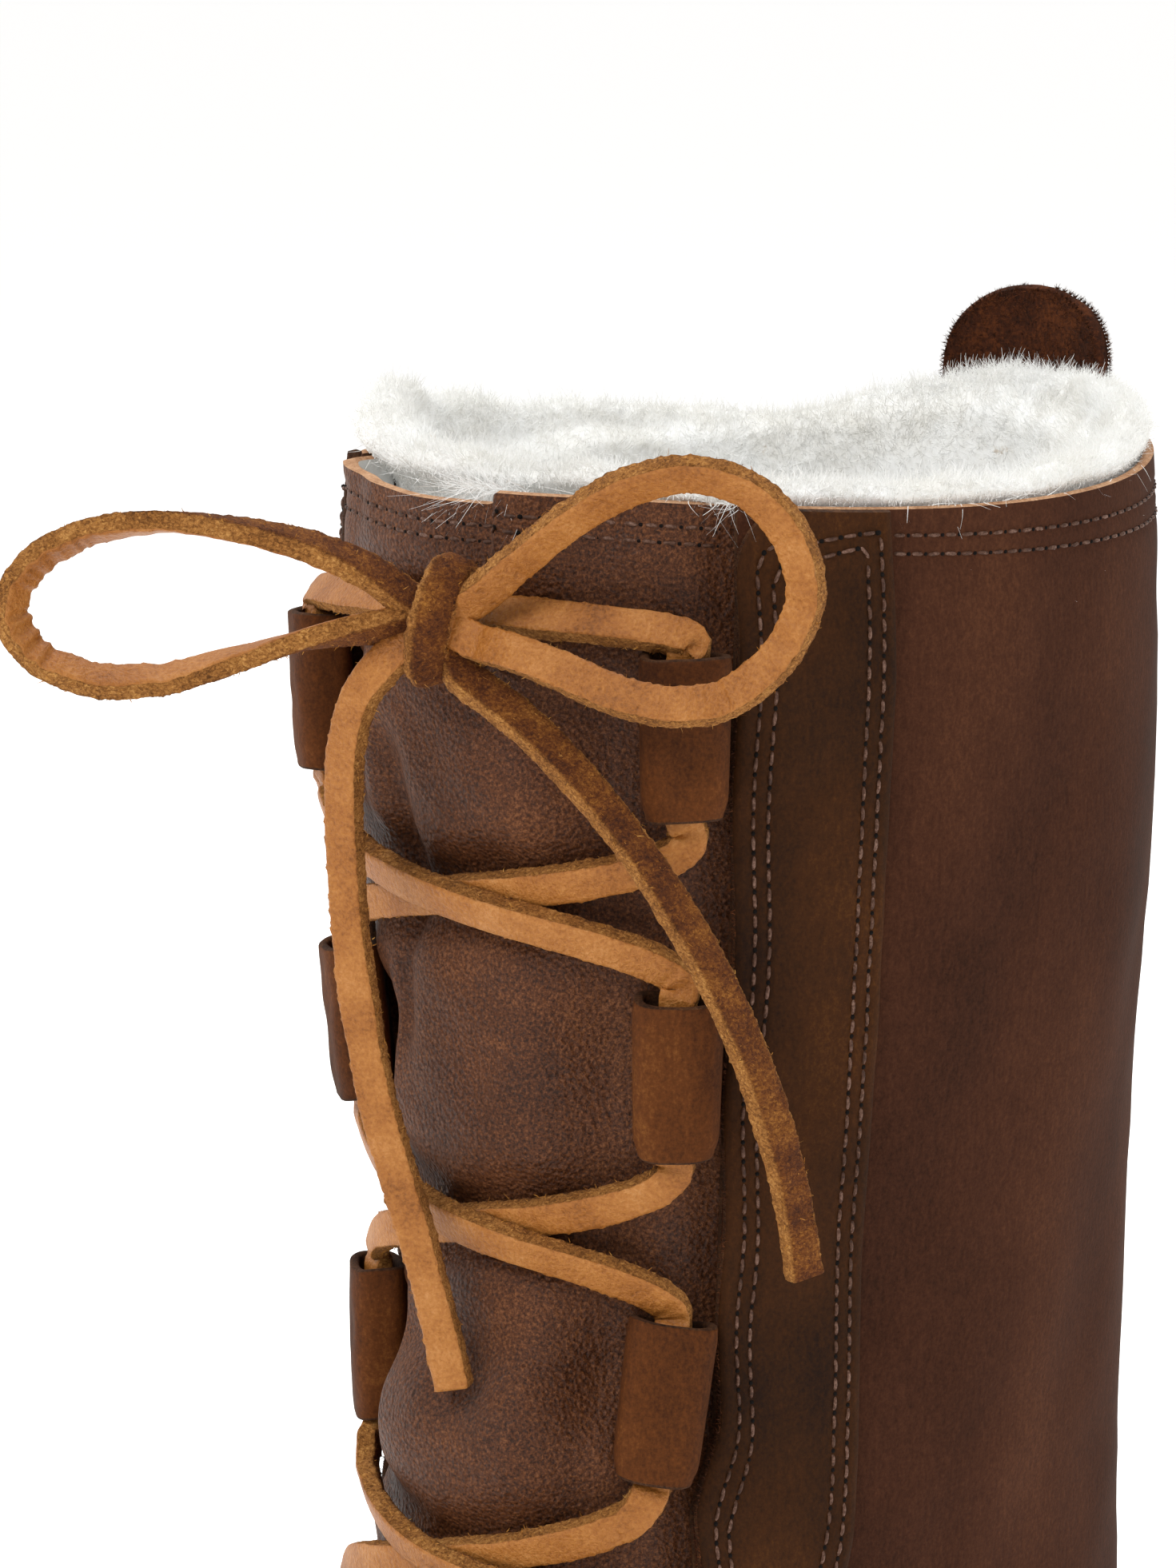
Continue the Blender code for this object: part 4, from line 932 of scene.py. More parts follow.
laceRoutes = []
for place, (name, strands) in enumerate(crossings):
    parts = []
    for k, (start, end, bend, over) in enumerate(strands):
        route = settledRoute(start, end, bend, over)
        laceRoutes.append(route)
        outward = unit((route - [0, shaftAxis, 0]) * [1, 1, 0])
        # each strand leans down a little, so that its upper cut edge shows, but the strand beneath
        # leans up at its inner end, and the bars lean up all the way
        atEnd = ease(np.linspace(0, 1, len(route)) * 1.6 - 0.6)
        lean = -0.42 + 0.95 * atEnd * (over < 0) + 1.25 * (over == 0)
        facing = unit(outward + np.outer(lean, [0, 0, 1]))
        steps = np.arange(len(route))
        free = ease(np.minimum(steps, steps[::-1]) / 11)[:, None]
        facing = outward * (1 - free) + facing * free
        thing, points, at, across, facing = laceMesh(f"{name}_strap_{k}", route, facing, 131 + 17 * place + 5 * k)
        collectFuzz(points, at, across, facing, 133 + 17 * place + 5 * k, clear=10 * mm)
        parts.append(thing)
    thing = joinMeshes(name, parts) if len(parts) > 1 else parts[0]
    thing.name = name + "_strap"
    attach(thing, "root")
    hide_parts(name)
root, lean, size = (np.concatenate([tuft[k] for tuft in fuzzTufts]) for k in range(3))
fuzz = fibreMesh("lace_fuzz", root, lean, size, 0.16 * mm, fibreLeather, 5)
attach(fuzz, "root")
print("laces, knot and fuzz", len(root))


def sheetSolid(name, outside, inside, materials, keep=None, bulge=0.35 * mm):
    # two grids of the same layout, welded where the outer one meets itself. Each open edge gets a
    # wall with a middle line pushed out by the bulge, so that it reads as cut leather. The materials
    # are those of the face, of a cut edge that faces up, and of all the rest.
    height, width = outside.shape[:2]
    flat = outside.reshape(-1, 3)
    _, first, place = np.unique(np.round(flat, 6), axis=0, return_index=True, return_inverse=True)
    place = place.reshape(-1)
    outer = flat[first]
    count = len(outer)
    inner = np.stack([np.bincount(place, inside.reshape(-1, 3)[:, k], count) for k in range(3)], 1)
    inner /= np.bincount(place, minlength=count)[:, None]
    quads = gridFaces(height, width)
    if keep is not None:
        quads = quads[keep.reshape(-1)]
    quads = place[quads]
    triangles = np.concatenate([quads[:, [0, 1, 2]], quads[:, [0, 2, 3]]])
    triangles = triangles[(triangles != np.roll(triangles, 1, axis=1)).all(1)]
    edges = np.concatenate([triangles[:, [0, 1]], triangles[:, [1, 2]], triangles[:, [2, 0]]])
    code, back = edges[:, 0] * count + edges[:, 1], edges[:, 1] * count + edges[:, 0]
    rim = edges[~np.isin(code, back)]
    wallWay = unit(np.cross(inner[rim[:, 0]] - outer[rim[:, 0]], outer[rim[:, 1]] - outer[rim[:, 0]]))
    push = np.zeros_like(outer)
    for end in (0, 1):
        np.add.at(push, rim[:, end], wallWay)
    middle = (outer + inner) / 2 + unit(push) * bulge
    a, b = rim.T
    walls = np.concatenate([np.stack([b, a, a + 2 * count], 1), np.stack([b, a + 2 * count, b + 2 * count], 1),
                            np.stack([b + 2 * count, a + 2 * count, a + count], 1),
                            np.stack([b + 2 * count, a + count, b + count], 1)])
    faces = np.concatenate([triangles, triangles[:, ::-1] + count, walls])
    last = len(materials) - 1
    wallKind = np.where(wallWay[:, 2] > 0.6, min(1, last), last)
    kind = np.concatenate([np.zeros(len(triangles)), np.full(len(triangles), last), np.tile(wallKind, 4)])
    used, renumber = np.unique(faces, return_inverse=True)
    points = np.concatenate([outer, inner, middle])[used]
    thing = addMesh(name, points, renumber.reshape(-1, 3), materials, faceMaterial=kind)
    thing.data.set_sharp_from_angle(angle=55 * deg)
    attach(thing, "root")
    return thing


def millimetreNoise(place, size, seed):
    # soft lumps from a few crossed waves of about this size, between -1 and 1
    draw = np.random.default_rng(seed)
    total = np.zeros(place.shape[:-1])
    for _ in range(9):
        way = unit(draw.normal(0, 1, 3)) * 2 * math.pi / (size * draw.uniform(0.7, 1.5))
        total += np.sin(place @ way + draw.uniform(0, 6.3))
    return total / 9 * 2.2


# the two rows of stitches below the rim, and the depth and reach of their channels
rimStitch = {"upper": 3.0 * mm, "lower": 5.2 * mm, "groove": 0.28 * mm, "reach": 0.55 * mm}
# row, slope or bend to the sides, depth in millimetres, and reach in rows
ankleCreases = ((10.6, 1.1, 1.5, 0.42), (12.0, 1.5, 1.3, 0.5), (13.5, 1.2, 0.9, 0.5))
vampCreases = ((4.3, 0.5, 0.8, 0.16), (5.4, 0.7, 1.1, 0.2), (6.5, 0.8, 0.9, 0.2))


def rimGroove(below):
    # the channels under the two rim stitch rows
    return rimStitch["groove"] * (hump(below, rimStitch["upper"], rimStitch["reach"])
                                  + hump(below, rimStitch["lower"], rimStitch["reach"]))


def shellRelief(angle, row):
    # the shell's own soft shape: a hand's waviness, creases that wrap the ankle and cross the vamp,
    # and the shallow channels under the two rim stitch rows
    place = upperPoint(angle, row)
    wave = 0.55 * mm * millimetreNoise(place, 46 * mm, 3) + 0.16 * mm * millimetreNoise(place, 15 * mm, 4)
    side = np.abs(angle)
    ankle = np.zeros_like(wave)
    for centre, slope, depth, reach in ankleCreases:
        ankle -= depth * mm * hump(row + slope * (side - 0.9), centre, reach) * hump(side, 1.2, 0.62)
    vamp = np.zeros_like(wave)
    for centre, bend, depth, reach in vampCreases:
        vamp -= depth * mm * hump(row + bend * side**2, centre, reach) * ease((1.6 - side) / 0.8)
    near = ease((lastRow - row) / 0.6 + 0.35) * ease(row)
    return (wave * near + ankle + vamp) * ease(row / 1.5) - rimGroove((lastRow - row) * rowHeight)


def shellAngles(rows, frontColumns, sideColumns):
    # columns that keep to the throat's edges at the front and reach the feather line at the sides
    front = np.linspace(0, 1, frontColumns + 1)[1:]
    side = np.linspace(0, 1, sideColumns + 1)[1:]
    halves = []
    for limit, edge in zip(upperLimit(rows), (form["throatOuter"], form["throatInner"])):
        rear = edge + (limit[:, None] - edge) * side
        halves.append(np.hstack([np.repeat(edge * front[None, :], len(rows), axis=0), rear]))
    return np.hstack([-halves[1][:, ::-1], np.zeros((len(rows), 1)), halves[0]])


def shellRow(angle, row):
    # the rows near the rim sag at the inner rear
    sag = form["rearSag"] * hump(angle, form["sagAngle"], form["sagSpread"])
    return row - sag / rowHeight * ease((row - form["sagRow"]) / form["sagRows"])


def makeUpper():
    # foot and shaft in one shell, open down the throat
    frontColumns, sideColumns = 16, 92
    rows = np.unique(np.concatenate([np.linspace(0, 3, 30), np.linspace(3, form["throatRow"], 45),
                                     np.linspace(form["throatRow"], 23, 78), np.linspace(23, lastRow, 22)]))
    angles = shellAngles(rows, frontColumns, sideColumns)
    gridRows = np.repeat(rows[:, None], angles.shape[1], axis=1)
    relief = shellRelief(angles, gridRows)
    gridRows = shellRow(angles, gridRows)
    outside = upperOffset(angles, gridRows, relief)
    inside = upperOffset(angles, gridRows, -form["wall"])
    closed = rows >= heelRow
    for grid in (outside, inside):
        seam = (grid[closed, 0] + grid[closed, -1]) / 2
        seam[:, 0] = 0
        grid[closed, 0] = grid[closed, -1] = seam
    keep = np.ones((len(rows) - 1, angles.shape[1] - 1), bool)
    keep[rows[:-1] >= form["throatRow"], sideColumns:sideColumns + 2 * frontColumns] = False
    thing = sheetSolid("upper_shell", outside, inside, [nubuck, rawEdge, darkEdge], keep)
    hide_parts("upper")


makeUpper()
print("upper")

tongue = {
    "thickness": 2.2 * mm, "gap": 0.8 * mm, "puff": 2.2 * mm, "lap": 9 * deg, "tuck": 0.8 * deg,
    "turn": 13 * deg, "innerTurn": 6 * deg, "tunnelSpan": 16.5 * deg,
    "crease": -17 * deg, "creaseLow": 200 * mm, "creaseHigh": 256 * mm,
    "pleat": 4.4 * deg, "pleatLow": 258 * mm, "pleatStep": 1.5 * mm, "pleatDrop": 1.7 * mm,
    "swell": 3.3 * mm, "creaseDepth": 2.5 * mm, "foldDepth": 0.45 * mm,
    "innerBulge": 4.3 * mm, "outerBulge": 0.9 * mm,
}
routePoints = np.concatenate([smoothStrand(route[::3], 60) for route in laceRoutes]
                             + [laceThings[name][1][::8] for name in ("lace_end_inner", "lace_end_outer")])
tunnelLevels = [tunnelFrames[1, index][0][2] for index in range(tunnel["count"])]


def tongueLift(angle, row):
    # as in the CAD: inside the wall under the throat's edges and swelling out between the tunnels,
    # then pressed down where a lace lies and puffed between, with a long crease and a pleat
    under = -(form["wall"] + tongue["gap"])
    edge = np.where(angle >= 0, form["throatOuter"], form["throatInner"])
    side = ease((edge - tongue["tuck"] - np.abs(angle)) / tongue["turn"])
    turn = np.where(angle < 0, tongue["innerTurn"], tongue["turn"])
    swell = ease((edge - tongue["tunnelSpan"] - np.abs(angle)) / turn)
    base = ease(row - form["throatRow"] - 0.15)
    lift = under + (side * (-under - tongue["gap"] / 2) + swell * tongue["puff"]) * base
    place = upperOffset(angle, row, lift)
    nearest = np.full(angle.shape, 1.0)
    for start in range(0, len(routePoints), 40):
        block = routePoints[start:start + 40]
        nearest = np.minimum(nearest, np.linalg.norm(place[..., None, :] - block, axis=-1).min(-1))
    press = np.exp(-(np.maximum(nearest - 2.6 * mm, 0) / (4.2 * mm)) ** 2)
    height = place[..., 2]
    crease = hump(angle, tongue["crease"] + 1.2 * deg * np.sin(height / (9 * mm)), 3.0 * deg)
    crease = crease * ease((height - tongue["creaseLow"]) / (12 * mm))
    crease = crease * ease((tongue["creaseHigh"] - height) / (10 * mm))
    fold = hump(angle + 0.6 * (height - 225 * mm) / (55 * mm), 8 * deg, 4 * deg)
    fold = fold * ease((262 * mm - height) / (10 * mm)) * ease((height - 190 * mm) / (15 * mm))
    step = ease((angle - tongue["pleat"]) / (1.1 * deg) + 0.5) * ease((height - tongue["pleatLow"]) / (9 * mm))
    step = step * ease((26 * deg - angle) / (10 * deg))
    wrinkle = millimetreNoise(place, 9 * mm, 12) * 0.14 * mm + millimetreNoise(place, 24 * mm, 13) * 0.45 * mm
    soft = swell * base
    behind = sum(hump(height, level, 12.5 * mm) ** 3 for level in tunnelLevels)
    free = np.clip(1 - 1.3 * behind, 0, 1) * base * ease((edge - 0.8 * deg - np.abs(angle)) / (6.5 * deg))
    bulge = np.where(angle < 0, tongue["innerBulge"], tongue["outerBulge"]) * free * (1 - swell)
    lift = lift + soft * (tongue["swell"] * (1 - press) - 0.35 * mm * press + wrinkle) + bulge * (1 - 0.9 * press)
    lift = lift - soft * (tongue["creaseDepth"] * crease + tongue["foldDepth"] * fold)
    lift = lift + step * tongue["pleatStep"] * soft
    below = (lastRow - row) * rowHeight
    flare = 0.9 * mm * hump(below, 0, 2.4 * mm) * ease((-angle - 20 * deg) / (15 * deg))
    return lift - rimGroove(below) + flare


def tongueRow(angle, row):
    # the rim sags a little towards the pleat from the inner side
    sag = tongue["pleatDrop"] * ease((tongue["pleat"] + 0.4 * deg - angle) / (1.2 * deg))
    return row - sag * ease((angle + 30 * deg) / (26 * deg)) / rowHeight * ease((row - 21) / 3)


def makeTongue():
    # the tongue with its gusset, from just under the throat's foot to the rim
    rows = np.append(form["throatRow"] - 0.8, np.linspace(form["throatRow"], lastRow, 190))
    angles = np.linspace(-form["throatInner"] - tongue["lap"], form["throatOuter"] + tongue["lap"], 150)
    angles, rows = np.meshgrid(angles, rows)
    lift = tongueLift(angles, rows)
    warped = tongueRow(angles, rows)
    outside, inside = upperOffset(angles, warped, lift), upperOffset(angles, warped, lift - tongue["thickness"])
    thing = sheetSolid("tongue_leather", outside, inside, [tongueLeather, rawEdge, wool])
    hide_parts("tongue")


makeTongue()
print("tongue")

def eyestayEdges(side, row):
    # front and rear edge angles, the front one cut back in a curve at the top
    edge = form["throatOuter"] if side > 0 else form["throatInner"]
    corner = 6.5 * deg * (1 - np.sqrt(np.clip(1 - np.clip((row - 23.3) / 0.7, 0, 1) ** 2, 0, 1)))
    front = edge + corner + 0.35 * deg * np.sin(row * 3.1 + side)
    return front, np.full_like(row, edge + eyestay["width"]) + 0.2 * deg * np.sin(row * 2.3)


def eyestayLift(side, angle, row):
    # the strip's face above the shell, with its stitch channels and pressed edges
    front, rear = eyestayEdges(side, row)
    radius = form["shaftWidth"] / 2
    fromFront, fromRear = (np.abs(angle) - front) * radius, (rear - np.abs(angle)) * radius
    groove = sum(hump(fromFront, at, 0.5 * mm) for at in eyestay["frontStitches"])
    groove = groove + sum(hump(fromRear, at, 0.5 * mm) for at in eyestay["rearStitches"])
    place = upperPoint(angle, row)
    relief = np.maximum(shellRelief(angle, row), 0) * 0.7
    edge = 0.35 * mm * (hump(fromFront, 0, 0.5 * mm) + hump(fromRear, 0, 0.5 * mm))
    return (eyestay["lift"] + eyestay["thickness"] + relief - groove * eyestay["groove"] - edge
            + 0.10 * mm * millimetreNoise(place, 11 * mm, 21))


def makeEyestay(side, name):
    # one leather strip beside the throat
    shares = np.linspace(0, 1, 56)
    rows = np.linspace(*eyestay["rows"], 150)
    front, rear = eyestayEdges(side, rows)
    angles = side * (front[:, None] + (rear - front)[:, None] * shares)
    gridRows = np.repeat(rows[:, None], len(shares), axis=1)
    if side < 0:
        angles = angles[:, ::-1]
    outside = upperOffset(angles, gridRows, eyestayLift(side, angles, gridRows))
    inside = upperOffset(angles, gridRows, eyestay["lift"] * 0.4)
    thing = sheetSolid(name + "_strip", outside, inside, [strapLeather, darkEdge, darkEdge], bulge=0.3 * mm)
    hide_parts(name)


for side, name in ((1, "eyestay_outer"), (-1, "eyestay_inner")):
    makeEyestay(side, name)
print("eyestays")


def makeTunnel(side, index):
    # a strap folded into a flat tube: a rounded box section, a little narrower at its foot, whose
    # front swells where the lace passes. One closed surface goes up outside and down inside.
    centre, across, normal, up = tunnelFrames[side, index]
    turns = np.linspace(0, 2 * math.pi, 73)[:-1]
    boxX, boxY = squared(np.cos(turns), 0.62), squared(np.sin(turns), 0.62)
    levels = np.linspace(-1, 1, 34)
    lip = tunnel["lip"]
    rings = []
    rounding = np.linspace(0, math.pi, 7)
    loop = [(level, 0.0) for level in levels[1:-1]] + [(1.0, phase) for phase in rounding]
    loop += [(level, math.pi) for level in levels[-2:0:-1]] + [(-1.0, math.pi - phase) for phase in rounding]
    for level, phase in loop:
        inward = tunnel["wall"] / 2 * (1 - math.cos(phase))
        taper = 1 - 0.035 * (1 - level) - 0.10 * hump(level, -1.0, 0.14) - 0.03 * hump(level, 1.0, 0.1)
        swell = 1 + 0.04 * math.cos(level * 1.4)
        x = boxX * (tunnel["width"] / 2 * taper - inward)
        y = boxY * (tunnel["depth"] / 2 * swell * (1 - 0.05 * hump(level, -1, 0.3)) - inward)
        z = level * (tunnel["height"] / 2 - lip) + math.copysign(lip * math.sin(phase), level)
        z = z + 0.25 * mm * np.sin(2 * turns + index) * abs(level)
        rings.append(centre + x[:, None] * across + y[:, None] * normal + z[:, None] * up)
    grid = np.array(rings)
    grid += normal * (0.10 * mm * millimetreNoise(grid, 5 * mm, 40 + index))[..., None]
    kind = np.array([phase > 0 for _, phase in loop])
    faces = gridFaces(*grid.shape[:2], wrapRows=True, wrapColumns=True)
    name = f"tunnel_{'outer' if side > 0 else 'inner'}_{index + 1}"
    thing = addMesh(name, grid.reshape(-1, 3), faces, [tunnelLeather, darkEdge],
                    faceMaterial=np.repeat(kind, len(turns)))
    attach(thing, "root")
    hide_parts("lace_" + name)


for side in (1, -1):
    for index in range(tunnel["count"]):
        makeTunnel(side, index)
print("tunnels")


apron = {"rows": (2.6, 8.7), "spread": 50 * deg, "round": 2.6, "puff": 1.8 * mm, "gather": 4.6 * mm}


def apronReach(row):
    # the plug's half width as an angle, rounded at the toe
    return apron["spread"] * endRound((row - apron["rows"][0] + 0.02) / apron["round"], 2)


def makeApron():
    # a plug of nubuck over the toe, gathered along its edge by the moccasin seam
    rows = np.linspace(*apron["rows"], 130)
    shares = np.linspace(-1, 1, 120)
    reach = apronReach(rows)
    angles = reach[:, None] * shares
    gridRows = np.repeat(rows[:, None], len(shares), axis=1)
    edge = (1 - np.abs(shares))[None, :] * reach[:, None] * 50 * mm
    edge = np.minimum(edge, (gridRows - apron["rows"][0]) * 12 * mm)
    along = np.where(np.abs(shares)[None, :] * reach[:, None] > 0.3, gridRows * 14 * mm, angles * 45 * mm)
    gather = 0.45 * mm * np.sin(along * 2 * math.pi / apron["gather"]) * hump(edge, 1.2 * mm, 2.2 * mm)
    piping = 0.7 * mm * hump(edge, 0.9 * mm, 0.8 * mm) - 0.55 * mm * hump(edge, 2.6 * mm, 0.8 * mm)
    relief = np.maximum(shellRelief(angles, gridRows), -0.25 * mm)
    outside = upperOffset(angles, gridRows, form["overlayLift"] + apron["puff"] + gather + piping + relief)
    inside = upperOffset(angles, gridRows, np.full(angles.shape, form["overlayLift"] * 0.4))
    thing = sheetSolid("apron_plug", outside, inside, [nubuck, darkEdge, darkEdge])
    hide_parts("apron")


def makeOutsole():
    # a ring of side layers between a grooved tread and the feather, closed over top and bottom
    # the tread's grooves, as shares of the length from the heel
    places = np.array([0.10, 0.17, 0.24, 0.58, 0.645, 0.71, 0.775, 0.84])
    groove = 3.2 * mm / form["outsoleLength"]
    offsets = np.array([-0.62, -0.5, -0.38, -0.2, 0.2, 0.38, 0.5, 0.62])
    base = 0.5 - 0.49995 * np.cos(np.linspace(0, math.pi, 240))
    near = np.abs(base[:, None] - places).min(1) > groove * 0.7
    along = np.sort(np.append(base[near], (places[:, None] + offsets * groove).ravel()))
    depth = 1.6 * mm * ease((groove * 0.62 - np.abs(along[:, None] - places).min(1)) / (groove * 0.2))
    ringAlong = np.concatenate([along, along[::-1]])
    cut = np.concatenate([depth, depth[::-1]])
    half = np.concatenate([outlineHalf(along, "outer", 0), -outlineHalf(along[::-1], "inner", 0)])
    plan = np.stack([half, outlineY(ringAlong, 0)], 1)
    tangent = unit(np.roll(plan, -1, 0) - np.roll(plan, 1, 0))
    outward = np.stack([-tangent[:, 1], tangent[:, 0]], 1)
    top, bottom = soleTop(plan[:, 1]), soleBottom(plan[:, 1])
    # each layer is its inset and its height: bottom rounding, side, groove round the side, top rounding and top
    corner = 2.5 * mm
    layers = [(corner * (1 - math.sin(p)), bottom + corner * (1 - math.cos(p)) + cut * (1 - p / (math.pi / 2)))
              for p in np.linspace(0, math.pi / 2, 6)]
    layers += [(0.15 * mm * math.sin(k * 2.1), bottom + (top - bottom - 9.0 * mm) * k / 6 + corner)
               for k in range(1, 7)]
    layers += [(1.2 * mm * math.sin(p), top - 4.6 * mm + 2.4 * mm * k / 8)
               for k, p in enumerate(np.linspace(0, math.pi, 9))]
    layers += [(0.5 * mm * k * k / 9, top - 2.2 * mm + 2.2 * mm * k / 3) for k in (1, 2, 3)]
    layers += [(1.6 * mm, top), (3.2 * mm, top)]
    rings = np.array([np.column_stack([plan - outward * inset, level]) for inset, level in layers])
    count = len(plan)
    side = gridFaces(len(layers), count, wrapColumns=True)
    side = np.concatenate([side[:, [0, 1, 2]], side[:, [0, 2, 3]]])
    k = np.arange(len(along) - 1)
    last = (len(layers) - 1) * count
    quad = np.stack([k, count - 1 - k, count - 2 - k, k + 1], 1)
    under = np.concatenate([quad[:, [2, 1, 0]], quad[:, [3, 2, 0]]])
    over = np.concatenate([quad[:, [0, 1, 2]], quad[:, [0, 2, 3]]]) + last
    thing = addMesh("rubber_sole", rings.reshape(-1, 3), np.concatenate([side, under, over]), [rubber])
    recalculate(thing)
    thing.data.set_sharp_from_angle(angle=45 * deg)
    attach(thing, "root")
    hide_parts("outsole")


tab = {"width": 30.5 * mm, "thickness": 2.4 * mm, "rise": 16.5 * mm, "overlap": 24 * mm, "lift": 0.6 * mm,
       "lean": 2.4 * mm, "aside": 3.6 * mm}


def tabSurface(shares, levels, lift):
    # a half round top on a strip wrapped round the back: across goes with the share, up with the level
    rim = upperPoint(math.pi, lastRow)[2]
    dome = tab["rise"] * 0.75
    height = rim - tab["overlap"] + levels * (tab["overlap"] + tab["rise"])
    over = np.clip((height - rim - tab["rise"] + dome) / dome, 0, 1)
    half = tab["width"] / 2 / (form["shaftWidth"] / 2) * np.maximum((1 - over**2.3) ** 0.46, 0.06)
    lean = (tab["aside"] + tab["lean"] * levels**1.5) / (form["shaftWidth"] / 2)
    angle = math.pi + half * shares - lean
    wrapped = (angle + math.pi) % (2 * math.pi) - math.pi
    return shaftPoint(wrapped, height, lift)


def makeTab():
    levels = 1 - (1 - np.linspace(0, 1, 70)) ** 1.25
    shares, levels = np.meshgrid(np.sin(np.linspace(-math.pi / 2, math.pi / 2, 50)), levels)
    base = tabSurface(shares, levels, tab["lift"])
    lumps = 0.25 * mm * millimetreNoise(base, 9 * mm, 51) + 0.08 * mm * millimetreNoise(base, 2.5 * mm, 52)
    edge = 0.3 * mm * hump(1 - np.abs(shares), 0, 0.05)
    top = 1 - 0.35 * ease((levels - 0.93) / 0.07)
    outside = tabSurface(shares, levels, tab["lift"] + tab["thickness"] * top + lumps - edge)
    inside = tabSurface(shares, levels, tab["lift"] * 0.5)
    thing = sheetSolid("suede_tab", outside, inside, [suede], bulge=0.5 * mm)
    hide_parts("pull_tab")
    return outside, inside


makeApron()
makeOutsole()
tabGrid, tabInside = makeTab()
print("apron, sole and tab")


stitch = {"pitch": 2.75 * mm, "length": 2.05 * mm, "radius": 0.28 * mm, "sides": 6}
hole = {"length": 0.85 * mm, "radius": 0.33 * mm, "depth": 0.22 * mm}
whip = {"pitch": 4.6 * mm, "length": 4.4 * mm, "radius": 0.42 * mm, "lift": 2.6 * mm}


def stitchCapsules(name, centres, ways, normals, material=thread, size=stitch):
    # each stitch is a short rod with rounded ends that arches over the leather and dips at its ends
    stations = np.array([-1, -0.9, -0.55, 0, 0.55, 0.9, 1.0])
    girth = np.array([0.02, 0.62, 0.95, 1, 0.95, 0.62, 0.02])
    turns = np.arange(stitch["sides"]) * 2 * math.pi / stitch["sides"]
    draw = np.random.default_rng(len(centres))
    ways = unit(ways + draw.normal(0, 0.05, ways.shape))
    scale = draw.uniform(0.9, 1.06, len(centres))[:, None, None, None]
    sideways = unit(np.cross(normals, ways))
    along = (stations * size["length"] / 2)[None, :, None, None] * ways[:, None, None, :] * scale
    arch = (0.10 * mm - 0.30 * mm * stations**2)[None, :, None, None] * normals[:, None, None, :]
    ring = (np.cos(turns)[None, None, :, None] * sideways[:, None, None, :]
            + np.sin(turns)[None, None, :, None] * normals[:, None, None, :])
    points = centres[:, None, None, :] + along + arch + ring * (girth * size["radius"])[None, :, None, None]
    faces = gridFaces(len(stations), len(turns), wrapColumns=True, flip=True)
    each = len(stations) * len(turns)
    allFaces = (np.arange(len(centres))[:, None, None] * each + faces[None]).reshape(-1, 4)
    thing = addMesh(name, points.reshape(-1, 3), allFaces, [material])
    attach(thing, "root")


def stitchesAlong(line, normals, pitch=stitch["pitch"]):
    # even places along a line of points, with its direction and its normals there
    reach = lengthAlong(line)
    at = np.arange(stitch["pitch"] / 2, reach[-1], pitch)
    centres, ways, normals = (np.stack([np.interp(at, reach, values[:, k]) for k in range(3)], 1)
                              for values in (line, np.gradient(line, axis=0), normals))
    return centres, unit(ways), unit(normals)


def sewRows(name, rows):
    # the stitches of several rows, and between every two a small near-black capsule, sunk a little, as painted shade
    # in the needle pit
    centres, ways, normals = (np.concatenate([row[k] for row in rows]) for k in range(3))
    stitchCapsules(name, centres, ways, normals)
    # each pit is a near-black capsule of painted shade where the needle pierced
    pits = centres + ways * stitch["pitch"] / 2 - normals * hole["depth"]
    stitchCapsules(name + "_hole_shade", pits, ways, normals, needleHoleShade, hole)


def rimStitches():
    # two rows under the rim: round the shell from one strip to the other, and over the tongue
    rows = []
    for drop in (rimStitch["upper"], rimStitch["lower"]):
        row = lastRow - drop / rowHeight
        margin = eyestay["width"] + 0.8 * deg
        angle = np.linspace(form["throatOuter"] + margin, 2 * math.pi - form["throatInner"] - margin, 500)
        wrapped = np.where(angle > math.pi, angle - 2 * math.pi, angle)
        level = np.full(500, row)
        line = upperOffset(wrapped, shellRow(wrapped, level), shellRelief(wrapped, level) + 0.08 * mm)
        rows.append(stitchesAlong(line, upperNormal(wrapped, level)))
        angle = np.linspace(-form["throatInner"] + 2 * deg, form["throatOuter"] - 3 * deg, 260)
        level = np.full(260, row)
        line = upperOffset(angle, tongueRow(angle, level), tongueLift(angle, level) + 0.08 * mm)
        rows.append(stitchesAlong(line, upperNormal(angle, level)))
    sewRows("rim_stitches", rows)


def stripStitches(side, name):
    # two rows side by side up the front, round the cut corner, along under the rim and down the rear
    rows = []
    radius = form["shaftWidth"] / 2
    for frontGap, rearGap, topGap in zip(eyestay["frontStitches"], eyestay["rearStitches"], eyestay["topStitches"]):
        topRow = lastRow - topGap / rowHeight
        share = np.linspace(0, 1, 260)
        upRow = eyestay["rows"][0] + 0.1 + share * (topRow - 0.45 - eyestay["rows"][0] - 0.1)
        corner = np.linspace(0, 1, 40)[1:] * math.pi / 2
        front, rear = eyestayEdges(side, upRow)
        turnWide = 3.4 * mm / radius
        cornerAngle = front[-1] + frontGap / radius + turnWide * (1 - np.cos(corner))
        cornerRow = topRow - 0.45 + 0.33 * np.sin(corner)
        rearTop = rear[-1] - rearGap / radius
        acrossShare = np.linspace(0, 1, 60)[1:]
        acrossAngle = cornerAngle[-1] + (rearTop - cornerAngle[-1]) * acrossShare
        acrossRow = cornerRow[-1] + (topRow - cornerRow[-1]) * ease(acrossShare)
        acrossRow = acrossRow - 0.05 * ease((acrossShare - 0.9) / 0.1)
        downRow = upRow[::-1] + (acrossRow[-1] - upRow[-1]) * (share[::-1] ** 20)
        angle = side * np.concatenate([front + frontGap / radius, cornerAngle, acrossAngle,
                                       (rear - rearGap / radius)[::-1]])
        level = np.concatenate([upRow, cornerRow, acrossRow, downRow])
        line = upperOffset(angle, level, eyestayLift(side, angle, level) + 0.1 * mm)
        rows.append(stitchesAlong(line, upperNormal(angle, level)))
    sewRows(name, rows)


rimStitches()
stripStitches(1, "strip_stitches_outer")
stripStitches(-1, "strip_stitches_inner")


